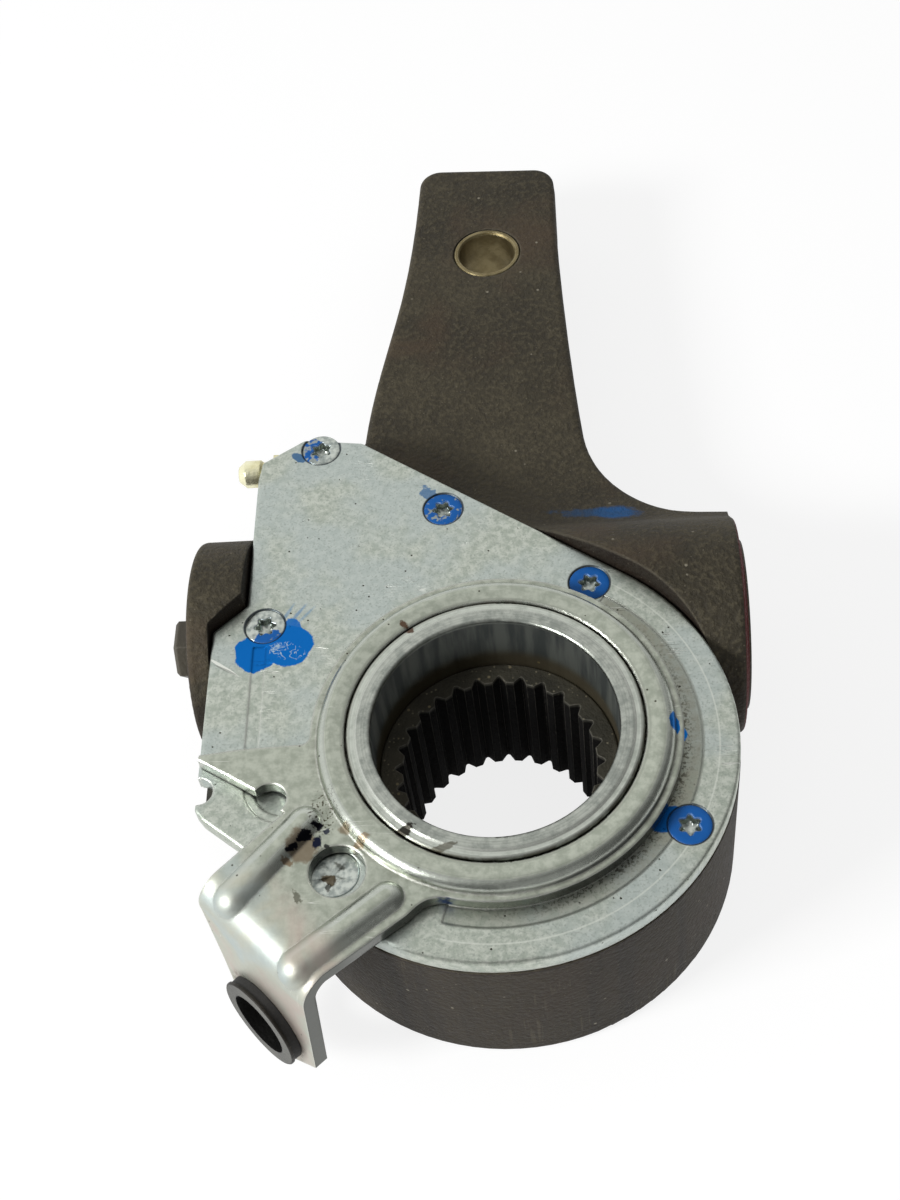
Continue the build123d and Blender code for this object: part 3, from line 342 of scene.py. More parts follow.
def lay_dabs(tree, place, colour, marks):
    """Lays dabs over a colour. Each is a centre in mm, a turn in degrees, a squash, a radius and a
    raggedness in mm, a grain, a softness in mm, a strength and a tone."""
    for center, turn, squash, radius, ragged, grain, soft, strength, tone in marks:
        spot = use_group(tree, dab, Place=place, Center=(center[0] * mm, center[1] * mm, 0.0),
                         Turn=math.radians(turn), Squash=(*squash, 0.0), Radius=radius * mm,
                         Raggedness=ragged * mm, Grain=grain, Softness=soft * mm)
        colour = paint_over(tree, colour, (spot["Mask"], strength, tone))
    return colour


# %% [markdown]
# ** Grime and painted shade.** Dirt collects where fingers and rags don't reach, and shade falls in the same
# closed-in places, so this mask paints grime and painted shade together. Ambient occlusion measures how
# closed-in a place is, and noise breaks the darkening up into lumps.

# %% Grime and painted shade group
tree, entry, exit_node = open_group(
    "grime_and_shade", {"Place": None, "Reach": 0.004, "Amount": 0.5}, {"Mask": FLOAT})
closed = shader_node(tree, "ShaderNodeAmbientOcclusion", {"Distance": entry["Reach"]}, samples=6)
hidden = calc(tree, "SUBTRACT", 1.0, closed.outputs["AO"])
lumps = soft_step(tree, noise(tree, entry["Place"], 420.0, 6.0, 0.7), 0.38, 0.62)
grime_and_shade = close_group(tree, exit_node, {
    "Mask": calc(tree, "MULTIPLY", product(tree, hidden, entry["Amount"]), lumps, clamp=True)})

# %% [markdown]
# **Rings.** Turned pieces and the cover's shallow steps are patterns of the distance from the
# camshaft. This group puts out that distance, the angle about the axis, and fine lathe marks,
# which are a noise that changes with the distance and hardly with anything else.

# %% Rings group
tree, entry, exit_node = open_group(
    "rings", {"Place": None}, {"Radius": FLOAT, "Angle": FLOAT, "Marks": FLOAT})
axes = split(tree, entry["Place"])
flat = shader_node(tree, "ShaderNodeCombineXYZ", {0: axes[0], 1: axes[1]})
radius = vector_calc(tree, "LENGTH", flat.outputs[0])
marks = shader_node(tree, "ShaderNodeTexNoise", {"W": radius, "Scale": 2600.0, "Detail": 3.0},
                    noise_dimensions="1D")
rings = close_group(tree, exit_node, {
    "Radius": radius, "Angle": calc(tree, "ARCTAN2", axes[1], axes[0]), "Marks": marks.outputs[0]})

# %% [markdown]
# A material now takes four steps: make it, find its shader, paint a colour, and add relief.
# The shader itself is made here so that every finish has the same plain start.

# %% Helpers for materials
def start_finish(name, roughness, metallic=0.0):
    """Makes a material and returns its tree, its Principled shader and the object's places."""
    finish = bpy.data.materials.new(name)
    finish.use_nodes = True
    tree = finish.node_tree
    shader = tree.nodes["Principled BSDF"]
    shader.inputs["Roughness"].default_value = roughness
    shader.inputs["Metallic"].default_value = metallic
    return finish, tree, shader, object_place(tree)


def wire(tree, shader, **sockets):
    """Wires sockets to the shader's inputs. Underscores stand for spaces."""
    for name, socket in sockets.items():
        tree.links.new(socket, shader.inputs[name.replace("_", " ")])


def relief(tree, shader, height, distance, strength=1.0, rounded=None):
    """Feeds a height, in parts of a distance in metres, to the shader's normal."""
    feeds = {"Height": height, "Distance": distance, "Strength": strength}
    if rounded is not None:
        feeds["Normal"] = rounded
    wire(tree, shader, Normal=shader_node(tree, "ShaderNodeBump", feeds).outputs[0])


def dress(finish, *names):
    """Gives a finish to CAD nodes."""
    for name in names:
        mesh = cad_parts[name].data
        mesh.materials.clear()
        mesh.materials.append(finish)
    print(finish.name, "on", ", ".join(names))


print("material helpers ready")

# %% [markdown]
# **The casting's paint.** The housing is ductile iron with a thin coat of matt paint, between
# brown and olive black, and the sand's grain shows through it. The first coats are that grain,
# light on its peaks and dark in its hollows, and a browner blush in patches.

# %% Painted casting: the ground
casting, tree, shader, place = start_finish("painted_casting", 0.62)
skin = use_group(tree, casting_skin, Place=place, Grain=950.0, Fleck_share=0.045)
chips = use_group(tree, pits, Place=place, Cells=1250.0, Share=0.13, Size=0.24)
worn = use_group(tree, edge_wear, Place=place, Width=0.0011, Raggedness=0.9)
dirt_and_shade = use_group(tree, grime_and_shade, Place=place, Reach=0.006, Amount=0.9)
blush = noise(tree, place, 34.0, 4.0, distortion=0.4)
paint = paint_over(tree, tones(tree, skin["Tone"], (53, 48, 36), (72, 66, 51)),
                   (soft_step(tree, skin["Height"], 0.5, 0.62), 0.4, (98, 91, 73)),
                   (soft_step(tree, skin["Height"], 0.46, 0.34), 0.4, (36, 32, 24)),
                   (soft_step(tree, blush, 0.5, 0.68), 0.6, (76, 61, 46)))
print("casting ground mixed")

# %% [markdown]
# The upright walls are browner than the top, because grease and water have run down them. A
# wall is where the normal's z is small. The runs are noise that is drawn out along z, dark
# where dirt ran and light where the paint is scored, and a dark seam lies under the cover.

# %% Painted casting: the walls
axes = split(tree, place)
wall = soft_step(tree, calc(tree, "ABSOLUTE", split(tree, object_normal(tree))[2]), 0.6, 0.3)
tall = drawn_out(tree, place, 0.05)
stained = soft_step(tree, noise(tree, tall, 220.0, 5.0), 0.48, 0.66)
scored = product(tree, soft_step(tree, noise(tree, tall, 1500.0, 2.0), 0.55, 0.66),
                 soft_step(tree, noise(tree, place, 70.0, 3.0), 0.5, 0.62))
seat_height = 34.5
seam = step_mm(tree, axes[2], seat_height - 0.9, seat_height)
paint = paint_over(tree, paint, (wall, 0.7, (40, 32, 21)),
                   (product(tree, wall, stained), 0.55, (34, 29, 23)),
                   (product(tree, wall, scored), 0.35, (92, 86, 70)),
                   (product(tree, wall, seam), 0.75, (34, 24, 17)))
print("walls stained")

# %% [markdown]
# Dark red thread sealant shows as a stripe at the retainer's end of the tube, and the sealing
# brush has left two blue smears across the root of the lever.

# %% Painted casting: marks and gloss
thread_start, thread_end, fade = 46.7, 47.9, 0.2
red_thread = product(tree, step_mm(tree, axes[0], thread_start, thread_start + fade),
                     step_mm(tree, axes[0], thread_end, thread_end - fade))
# The grime mask darkens corners and recesses: grime, and painted shade.
paint = paint_over(tree, paint, (chips["Mask"], 0.6, (112, 106, 90)), (skin["Fleck"], 1.0, (138, 132, 116)),
                   (worn["Mask"], 1.0, (106, 100, 85)), (dirt_and_shade["Mask"], 1.0, (28, 25, 20)),
                   (red_thread, 1.0, (88, 30, 28)))
smears = [((24.2, 58.4), 0, (0.75, 1.45), 3.3, 5.0, 240.0, 1.0, 0.95, (26, 88, 146)),
          ((19.6, 58.8), 6, (0.4, 2.0), 2.6, 9.0, 420.0, 1.0, 0.65, (30, 78, 122))]
paint = lay_dabs(tree, place, paint, smears)
wire(tree, shader, Base_Color=paint, Roughness=remap(tree, skin["Height"], 0.5, 0.8))
relief(tree, shader, skin["Height"], 0.0007, 0.8, worn["Rounded"])
shader.inputs["Specular IOR Level"].default_value = 0.3
dress(casting, "housing", "bearing_retainer")

# %% [markdown]
# **The cover's zinc.** The cover is a stamping with dull zinc plate: a soft grey with a trace
# of green, mottled at the scale of a millimetre, with pinholes and a few bright scratches.
# Three sizes of noise give the mottling: clouds, blots and sand.

# %% Cover plate: the plating
cover, tree, shader, place = start_finish("dull_zinc_cover", 0.4, 1.0)
mottle = noise(tree, place, 620.0, 6.0, 0.68)
cloud = noise(tree, place, 60.0, 3.0)
sand = noise(tree, place, 2300.0, 3.0)
holes = use_group(tree, pits, Place=place, Cells=860.0, Share=0.055, Size=0.2)
lines = use_group(tree, scratches, Place=place, Turn=(0.0, 0.0, 0.7), Share=0.2)
cross_lines = use_group(tree, scratches, Place=place, Turn=(0.0, 0.0, 2.3), Share=0.1)
worn = use_group(tree, edge_wear, Place=place, Width=0.0007, Raggedness=0.3)
plate = paint_over(tree, tones(tree, soft_step(tree, mottle, 0.36, 0.64), (166, 174, 162), (198, 203, 192)),
                   (soft_step(tree, cloud, 0.42, 0.62), 0.6, (182, 192, 190)),
                   (soft_step(tree, sand, 0.53, 0.68), 0.5, (140, 148, 140)))
print("cover plated")

# %% [markdown]
# The CAD has a shallow trough beside the ring, on the right side only. Dust lies in it, more
# toward its upper end, and black grit close to the ring. A bright line along the edge of the round
# step outside it is a painted highlight, and the trough's outer wall is darkened to dim its highlight,
# which is painted shade. All of these are bands of the distance from the camshaft and of the angle about it.

# %% Cover plate: the dusty trough
ring = use_group(tree, rings, Place=place)
away, around = ring["Radius"], ring["Angle"]
first_angle, last_angle, fade = -1.86, 1.0, 0.06
wall_r, step_r, ring_r = 37.2, 40.2, 33.8
right_side = product(tree, soft_step(tree, around, first_angle, first_angle + fade),
                     soft_step(tree, around, last_angle, last_angle - fade))
trough = product(tree, right_side, step_mm(tree, away, wall_r + 0.2, wall_r - 0.6))
dusty_end = product(tree, trough, soft_step(tree, around, -1.25, -0.5))
dust = product(tree, calc(tree, "ADD", dusty_end, trough), mottle)
near_ring = product(tree, step_mm(tree, away, ring_r + 2.6, ring_r), soft_step(tree, around, -1.8, -0.9))
grit = product(tree, trough, near_ring, soft_step(tree, sand, 0.5, 0.58))
# Painted highlight: a bright line along the edge of the round step.
step_highlight = product(tree, line_at(tree, away, step_r * mm, 0.22 * mm, 0.08 * mm), right_side)
# Painted shade: the trough's outer wall is darkened to dim its highlight.
trough_wall_shade = product(tree, line_at(tree, away, wall_r * mm, 0.5 * mm, 0.2 * mm), right_side)
plate = paint_over(tree, plate, (dust, 0.6, (118, 116, 100)), (grit, 0.75, (58, 54, 44)),
                   (step_highlight, 0.5, (220, 224, 214)), (holes["Mask"], 1.0, (74, 74, 64)),
                   (lines["Mask"], 0.6, (228, 230, 222)), (cross_lines["Mask"], 0.6, (224, 226, 218)),
                   (worn["Mask"], 1.0, (224, 226, 218)), (trough_wall_shade, 0.5, (120, 124, 114)))
print("trough dusted from", first_angle, "to", last_angle, "radians")

# %% [markdown]
# The sealing paint was dabbed on with a brush and ran past the screw heads. The widest dab is
# made of three, with thin strokes above it and a scuffed patch where pale threads of zinc show
# through. Two long dabs beside the pointer paint a dent: a painted highlight on one side and painted
# shade on the other. Each star screw sits in a thin dark rim, which is painted shade in the gap round its
# head.

# %% Cover plate: paint, a painted dent and painted rim shade
screw_spots = [(-35.61, 71.11), (-10.18, 53.92), (18.18, 34.05), (33.66, -18.89), (-44.37, 27.4)]
blue_paint = (18, 106, 186)
brushed = [((-45.6, 21.2), 0, (1.0, 1.0), 4.2, 2.6, 300.0, 0.16, 1.0, blue_paint),
           ((-39.6, 22.6), 20, (0.95, 1.0), 4.6, 2.4, 300.0, 0.16, 1.0, blue_paint),
           ((-38.6, 26.6), 60, (0.8, 1.6), 2.1, 2.4, 380.0, 0.2, 0.95, blue_paint),
           ((-40.4, 29.6), -62, (0.3, 2.4), 0.8, 0.9, 600.0, 0.35, 0.45, (70, 130, 180)),
           ((-38.4, 29.5), -55, (0.3, 2.4), 0.8, 1.0, 600.0, 0.35, 0.5, (50, 120, 176)),
           ((-36.6, 29.4), -50, (0.3, 2.4), 0.7, 1.0, 600.0, 0.35, 0.4, (80, 136, 180)),
           ((-40.1, 69.3), 40, (0.8, 1.5), 1.5, 1.4, 500.0, 0.15, 0.85, (30, 92, 140)),
           ((-12.9, 57.7), 50, (0.6, 1.3), 1.7, 3.4, 600.0, 0.15, 0.75, (40, 100, 150)),
           ((29.7, -17.6), -32, (0.75, 1.1), 2.5, 1.0, 400.0, 0.15, 1.0, (14, 78, 142)),
           ((33.6, -0.4), 0, (1.4, 0.7), 1.1, 1.4, 600.0, 0.12, 1.0, (20, 104, 180))]
plate = lay_dabs(tree, place, plate, brushed)
thread = line_at(tree, noise(tree, place, 620.0, 2.0, distortion=0.8), 0.5, 0.03, 0.012)
scuffed = use_group(tree, dab, Place=place, Center=(-0.0399, 0.0214, 0.0), Turn=0.26,
                    Squash=(0.75, 1.4, 0.0), Radius=0.0027, Raggedness=0.0025, Grain=500.0, Softness=0.0003)
plate = paint_over(tree, plate, (product(tree, thread, scuffed["Mask"]), 0.8, (176, 196, 206)))
# A painted dent: painted highlight on one side, painted shade on the other.
dent_light_and_shade = [((-51.6, 18.2), 36, (0.28, 3.0), 1.0, 0.5, 500.0, 0.12, 0.9, (232, 234, 226)),
         ((-51.2, 17.6), 30, (0.3, 3.4), 0.8, 0.5, 500.0, 0.12, 0.6, (120, 124, 116))]
# Painted shade: a thin dark rim round each star screw.
rim_shade = [(spot, 0, (1.0, 1.0), 4.2, 0.15, 500.0, 0.1, 0.85, (20, 34, 50)) for spot in screw_spots]
plate = lay_dabs(tree, place, plate, dent_light_and_shade + rim_shade)
wire(tree, shader, Base_Color=plate)
heights = calc(tree, "SUBTRACT", product(tree, mottle, 0.35), product(tree, holes["Mask"], 0.8))
heights = calc(tree, "SUBTRACT", heights, product(tree, lines["Mask"], 0.4))
relief(tree, shader, heights, 0.00022, 0.8, worn["Rounded"])
dress(cover, "cover_plate")
print("dabs on the cover:", len(brushed), "rims:", len(rim_shade))

# %% [markdown]
# **The control arm's zinc.** The arm is pressed from sheet and plated brighter than the cover.
# Where the press bent it, the plating is polished: the mask for that is where the normal
# leaves the vertical. Past the bend it also has a faint rainbow tinge, from a colour ramp over
# slow noise.

# %% Control arm: the plating
lug_way = (-0.71325, -0.70091, 0.0)
shaded_side_way = (0.70091, -0.71325, 0.0)
bend_start, bend_end = 45, 51
arm, tree, shader, place = start_finish("bright_zinc_arm", 0.3, 1.0)
normal = object_normal(tree)
mottle = noise(tree, place, 480.0, 6.0, 0.66)
slow = noise(tree, place, 75.0, 3.0, distortion=0.6)
sand = noise(tree, place, 2200.0, 3.0)
pressed = soft_step(tree, split(tree, normal)[2], 0.992, 0.95)
near_bend = step_mm(tree, vector_calc(tree, "DOT_PRODUCT", place, lug_way), bend_start, bend_end)
tinge = shader_node(tree, "ShaderNodeValToRGB", {0: slow})
stops = tinge.color_ramp.elements
stops[0].position, stops[0].color = 0.36, screen(188, 200, 200)
stops[1].position, stops[1].color = 0.66, screen(206, 186, 176)
stops.new(0.5).color = screen(198, 198, 184)
zinc = paint_over(tree, tones(tree, soft_step(tree, mottle, 0.35, 0.65), (158, 164, 150), (184, 189, 175)),
                  (pressed, 0.6, (194, 199, 192)), (near_bend, 0.6, tinge.outputs[0]))
print("arm plated, tinge stops:", len(stops))

# %% [markdown]
# The raised ring has faint lathe-like marks from the press, and a grey band of painted shade beside the
# gap round the bore, broken up by mottle. Dark freckles lie between the access hole and the pointer, and worn
# edges are bright.

# %% Control arm: wear
ring = use_group(tree, rings, Place=place)
holes = use_group(tree, pits, Place=place, Cells=760.0, Share=0.05, Size=0.2)
lines = use_group(tree, scratches, Place=place, Turn=(0.0, 0.0, 1.2), Share=0.22)
worn = use_group(tree, edge_wear, Place=place, Width=0.0009, Raggedness=0.15)
dirt_and_shade = use_group(tree, grime_and_shade, Place=place, Reach=0.0022, Amount=1.2)
freckles = use_group(tree, dab, Place=place, Center=(-0.0304, -0.0155, 0.0), Squash=(1.0, 0.6, 0.0),
                     Radius=0.0026, Raggedness=0.002, Softness=0.0008)
crown_r, gap_r = 33.5, 27.3
crown = step_mm(tree, ring["Radius"], crown_r, crown_r - 1.0)
marks = product(tree, crown, soft_step(tree, ring["Marks"], 0.5, 0.72))
# Painted shade: a grey band beside the gap round the bore, broken up by mottle.
gap_shade = product(tree, step_mm(tree, ring["Radius"], gap_r + 0.9, gap_r), soft_step(tree, mottle, 0.4, 0.6))
freckle = product(tree, freckles["Mask"], soft_step(tree, sand, 0.56, 0.62))
# The grime mask darkens recesses: grime, and painted shade.
zinc = paint_over(tree, zinc, (marks, 0.3, (140, 144, 136)), (gap_shade, 0.4, (108, 106, 92)),
                  (holes["Mask"], 1.0, (70, 68, 58)), (lines["Mask"], 0.7, (228, 230, 222)),
                  (worn["Mask"], 0.7, (232, 233, 226)), (dirt_and_shade["Mask"], 1.0, (74, 68, 54)),
                  (freckle, 1.0, (60, 52, 36)))
print("arm worn inside a crown of", crown_r, "mm")

# %% [markdown]
# Brown and black grease has dried beside the access hole, and blue paint from the screws has
# touched the ring. The blots are dabs with a ragged rim. The sheet's side faces on the right of
# the arm are painted plain grey, which is painted shade: it is where the normal points that way.

# %% Control arm: stains, painted side shade and gloss
soot = (26, 26, 32)
stains = [((-33.8, -22.2), 0, (1.0, 0.9), 2.7, 3.4, 420.0, 0.5, 0.85, (120, 106, 86)),
          ((-31.5, -18.2), -40, (0.9, 1.0), 0.7, 3.2, 900.0, 0.15, 1.0, soot),
          ((-33.3, -20.3), -40, (0.6, 1.2), 0.9, 3.6, 900.0, 0.15, 1.0, soot),
          ((-35.6, -22.5), -40, (0.6, 1.2), 0.6, 3.2, 900.0, 0.15, 1.0, soot),
          ((-31.2, -21.2), 0, (1.0, 0.8), 0.9, 2.4, 800.0, 0.15, 1.0, (30, 33, 50)),
          ((-29.7, -19.4), 0, (1.0, 1.0), 0.5, 2.2, 900.0, 0.15, 0.9, (34, 38, 58)),
          ((-29.4, -22.3), 20, (1.0, 1.0), 0.5, 2.4, 900.0, 0.15, 0.9, soot),
          ((-26.4, -19.0), 20, (0.7, 1.2), 0.9, 2.6, 700.0, 0.35, 0.7, (118, 100, 72)),
          ((-23.4, -21.9), -30, (0.7, 1.3), 1.1, 3.0, 700.0, 0.35, 0.7, (124, 100, 68)),
          ((-36.3, -25.0), 30, (0.8, 1.3), 0.8, 3.0, 900.0, 0.2, 0.8, (120, 98, 72)),
          ((-34.3, -31.7), 60, (0.6, 1.2), 0.7, 2.6, 900.0, 0.15, 0.7, (72, 70, 52)),
          ((-8.6, -33.1), 8, (0.5, 2.2), 0.9, 0.8, 500.0, 0.15, 1.0, (30, 66, 126)),
          ((32.1, -0.3), 0, (1.9, 0.9), 1.8, 2.2, 520.0, 0.12, 1.0, (20, 104, 180)),
          ((-16.9, 22.9), 35, (0.8, 1.3), 0.8, 1.6, 800.0, 0.15, 0.9, (84, 56, 38))]
# Painted shade: plain grey on the sheet's side faces that point right.
right_side_shade = soft_step(tree, vector_calc(tree, "DOT_PRODUCT", normal, shaded_side_way), 0.8, 0.93)
zinc = paint_over(tree, lay_dabs(tree, place, zinc, stains), (right_side_shade, 1.0, (112, 114, 110)))
gloss = calc(tree, "ADD", remap(tree, pressed, 0.34, 0.26), product(tree, near_bend, 0.24))
wire(tree, shader, Base_Color=zinc, Roughness=calc(tree, "ADD", product(tree, dirt_and_shade["Mask"], 0.4), gloss))
heights = calc(tree, "ADD", product(tree, mottle, 0.3), product(tree, slow, 1.2))
relief(tree, shader, heights, 0.0003, 0.7, worn["Rounded"])
dress(arm, "control_arm")
print("stains on the arm:", len(stains))

# %% [markdown]
# ** The control wheel.** Only its lip and its bore are seen. The lip is turned zinc, cleaner
# outside than inside, with fine rings, and its outer edge beside the gap is darkened: painted shade
# broken up by mottle.

# %% Control wheel: the lip
lip, tree, shader, place = start_finish("turned_lip", 0.3, 1.0)
ring = use_group(tree, rings, Place=place)
worn = use_group(tree, edge_wear, Place=place, Width=0.0008, Raggedness=0.2)
mottle = noise(tree, place, 420.0, 6.0, 0.68)
dull_zinc = tones(tree, soft_step(tree, mottle, 0.36, 0.64), (144, 149, 142), (182, 186, 177))
clean_zinc = tones(tree, soft_step(tree, mottle, 0.3, 0.6), (166, 172, 162), (198, 203, 193))
bright = blend_colour(tree, step_mm(tree, ring["Radius"], 24.9, 25.2), dull_zinc, clean_zinc)
# Painted shade: the lip's outer edge beside the gap is darkened, broken up by mottle.
outer_edge_shade = product(tree, step_mm(tree, ring["Radius"], 26.2, 26.8), soft_step(tree, mottle, 0.38, 0.55))
bright = paint_over(tree, bright, (soft_step(tree, ring["Marks"], 0.4, 0.7), 0.35, (122, 126, 118)),
                    (outer_edge_shade, 0.6, (84, 80, 66)))
print("lip turned")

# %% [markdown]
# The bore below the lip has gone a smooth blue-grey with upright streaks, and ends in a brown,
# rough band over the worm wheel. Both are limited by the distance from the axis and by height.

# %% Control wheel: the bore
axes = split(tree, place)
skin = use_group(tree, casting_skin, Place=place, Grain=1400.0, Fleck_share=0.2)
dirt_and_shade = use_group(tree, grime_and_shade, Place=place, Reach=0.003, Amount=0.8)
bore_r, bore_top, rust_top = 22.65, 43.6, 35.2
inside = product(tree, step_mm(tree, ring["Radius"], bore_r + 0.35, bore_r),
                 step_mm(tree, axes[2], bore_top, bore_top - 0.8))
rusty = product(tree, inside, step_mm(tree, axes[2], rust_top, rust_top - 3.4))
streak = noise(tree, drawn_out(tree, place, 0.12), 420.0, 4.0)
bore = tones(tree, soft_step(tree, streak, 0.38, 0.64), (88, 93, 91), (122, 126, 120))
# Grime and painted shade in recesses, kept out of the bore.
open_dirt_and_shade = product(tree, dirt_and_shade["Mask"], calc(tree, "SUBTRACT", 1.0, inside))
steel = paint_over(tree, bright, (inside, 1.0, bore), (rusty, 0.85, (110, 101, 80)),
                   (product(tree, rusty, skin["Fleck"]), 1.0, (160, 146, 108)),
                   (open_dirt_and_shade, 1.0, (78, 72, 58)), (worn["Mask"], 0.6, (225, 227, 220)))
specks = [((-16.3, 22.0), 35, (0.7, 1.3), 1.2, 2.2, 800.0, 0.15, 0.9, (80, 54, 38)),
          ((-15.9, -20.9), -35, (0.7, 1.4), 1.3, 2.6, 800.0, 0.15, 0.95, (36, 32, 26)),
          ((-9.8, -24.6), -20, (0.5, 2.2), 1.6, 2.4, 700.0, 0.15, 0.7, (70, 64, 46))]
steel = lay_dabs(tree, place, steel, specks)
wire(tree, shader, Base_Color=steel, Roughness=remap(tree, inside, 0.3, 0.62))
heights = calc(tree, "ADD", product(tree, ring["Marks"], 0.3), product(tree, rusty, skin["Height"]))
relief(tree, shader, heights, 0.00016, 0.6, worn["Rounded"])
dress(lip, "control_wheel")
print("specks on the lip:", len(specks))

# %% [markdown]
# ** Dark gear steel.** The splined wheel and the hidden gears are phosphated and oily: dark,
# with brown flecks and grit on the face. The spline's teeth are painted nearly black, which is painted
# shade: the deep shade inside the spline. Their edges are chipped bright where the camshaft's teeth
# have struck them.

# %% Gear steel
gear_steel, tree, shader, place = start_finish("dark_gear_steel", 0.6, 0.2)
ring = use_group(tree, rings, Place=place)
skin = use_group(tree, casting_skin, Place=place, Grain=1500.0, Fleck_share=0.3)
worn = use_group(tree, edge_wear, Place=place, Width=0.0004, Raggedness=1.15)
specks = use_group(tree, pits, Place=place, Cells=1150.0, Share=0.3, Size=0.3)
tooth_r, tooth_top = 20.9, 29.3
# Painted shade: the spline's teeth below the face are nearly black, dull and barely metallic.
spline_shade = product(tree, step_mm(tree, ring["Radius"], tooth_r, tooth_r - 0.3),
                  step_mm(tree, split(tree, place)[2], tooth_top, tooth_top - 0.9))
dark = paint_over(tree, tones(tree, skin["Tone"], (54, 53, 47), (82, 79, 68)),
                  (skin["Fleck"], 0.75, (140, 130, 104)), (specks["Mask"], 0.7, (128, 122, 104)),
                  (spline_shade, 1.0, (10, 9, 8)), (worn["Mask"], 1.0, (150, 147, 136)))
wire(tree, shader, Base_Color=dark, Roughness=remap(tree, spline_shade, 0.6, 0.9),
     Metallic=product(tree, calc(tree, "SUBTRACT", 1.0, spline_shade), 0.2))
relief(tree, shader, skin["Height"], 0.00045, 0.7, worn["Rounded"])
shader.inputs["Specular IOR Level"].default_value = 0.1
dress(gear_steel, "worm_wheel", "clutch_washer", "clutch_gear", "clutch_wheel", "spring_seat", "rack")

# %% [markdown]
# **The adjusting shaft** was painted with the housing, so its hexagon is as dark as the
# casting, with its corners rubbed bright by spanners. Inside, the worm is bare dark steel.

# %% Worm shaft
shaft, tree, shader, place = start_finish("painted_shaft", 0.5, 0.2)
skin = use_group(tree, casting_skin, Place=place, Grain=1100.0, Fleck_share=0.06)
worn = use_group(tree, edge_wear, Place=place, Width=0.0007, Raggedness=0.9)
dark = paint_over(tree, tones(tree, skin["Tone"], (58, 54, 45), (74, 69, 57)),
                  (worn["Mask"], 1.0, (118, 114, 102)), (skin["Fleck"], 1.0, (130, 124, 108)))
wire(tree, shader, Base_Color=dark)
relief(tree, shader, skin["Height"], 0.0004, 0.5, worn["Rounded"])
dress(shaft, "worm_shaft")

# %% [markdown]
# ** Yellow zinc.** The bush of the clevis pin and the grease fitting have a chromate coat that
# runs from khaki to straw. Slow noise moves the hue, and the grime mask darkens the bush's bore
# with grime and painted shade.

# %% Yellow zinc
def yellow_zinc(name, low, high, roughness, grime_and_shade_amount):
    """A chromated zinc finish between two tones."""
    finish, tree, shader, place = start_finish(name, roughness, 0.85)
    hue = noise(tree, place, 260.0, 4.0)
    worn = use_group(tree, edge_wear, Place=place, Width=0.0004, Raggedness=0.5)
    dirt_and_shade = use_group(tree, grime_and_shade, Place=place, Reach=0.006, Amount=grime_and_shade_amount)
    # The grime mask paints grime and painted shade, most of all in the bush's bore.
    coat = paint_over(tree, tones(tree, soft_step(tree, hue, 0.35, 0.65), low, high),
                      (dirt_and_shade["Mask"], 1.0, (40, 34, 24)), (worn["Mask"], 1.0, (214, 206, 172)))
    wire(tree, shader, Base_Color=coat)
    relief(tree, shader, noise(tree, place, 1600.0, 3.0), 0.0002, 0.4, worn["Rounded"])
    return finish


dress(yellow_zinc("khaki_zinc_bush", (112, 100, 68), (138, 126, 92), 0.42, 0.9), "clevis_bushing")
dress(yellow_zinc("straw_zinc_fitting", (222, 216, 172), (246, 243, 208), 0.25, 0.7), "grease_fitting")

# %% [markdown]
# ** The lug's sleeve.** Its end face is bare grey steel, but the rim is black, and the bore is
# painted dark, which is painted shade inside the hole. The distance from the sleeve's axis tells rim,
# face and bore apart: a cross product with the axis gives it, whichever way the axis leans.

# %% Lug sleeve
hole_center = Vector((-42.945, -42.202, 15.951)) * mm
hole_way = Vector((-0.710536, -0.698242, 0.087156))
rim_r, hole_r = 8.8, 6.6
sleeve, tree, shader, place = start_finish("greasy_sleeve", 0.5, 0.6)
off_axis = vector_calc(tree, "CROSS_PRODUCT", vector_calc(tree, "SUBTRACT", place, hole_center), hole_way)
from_axis = vector_calc(tree, "LENGTH", off_axis)
skin = use_group(tree, casting_skin, Place=place, Grain=1300.0, Fleck_share=0.12)
coat = paint_over(tree, tones(tree, skin["Tone"], (82, 82, 78), (108, 108, 102)),
                  (step_mm(tree, from_axis, rim_r, rim_r + 0.25), 1.0, (34, 31, 26)),
                  # Painted shade: the bore is nearly black.
                  (step_mm(tree, from_axis, hole_r, hole_r - 0.2), 1.0, (24, 24, 22)),
                  (skin["Fleck"], 0.5, (84, 78, 64)))
wire(tree, shader, Base_Color=coat)
relief(tree, shader, skin["Height"], 0.0003, 0.5)
dress(sleeve, "lug_sleeve")
print("sleeve's hole at", [round(v / mm, 1) for v in hole_center])

# %% [markdown]
# **Rubber, fibre, spring wire, bearing steel and brass** are inside, apart from the rubber in
# the lug. Each still gets a finish of its own, because a cut or an exploded view may show it.

# %% Hidden finishes
def plain_finish(name, low, high, roughness, metallic, grain, depth):
    """A finish of two close tones with a fine grain."""
    finish, tree, shader, place = start_finish(name, roughness, metallic)
    skin = use_group(tree, casting_skin, Place=place, Grain=grain, Fleck_share=0.03)
    wire(tree, shader, Base_Color=tones(tree, skin["Tone"], low, high))
    relief(tree, shader, skin["Height"], depth, 0.5)
    return finish


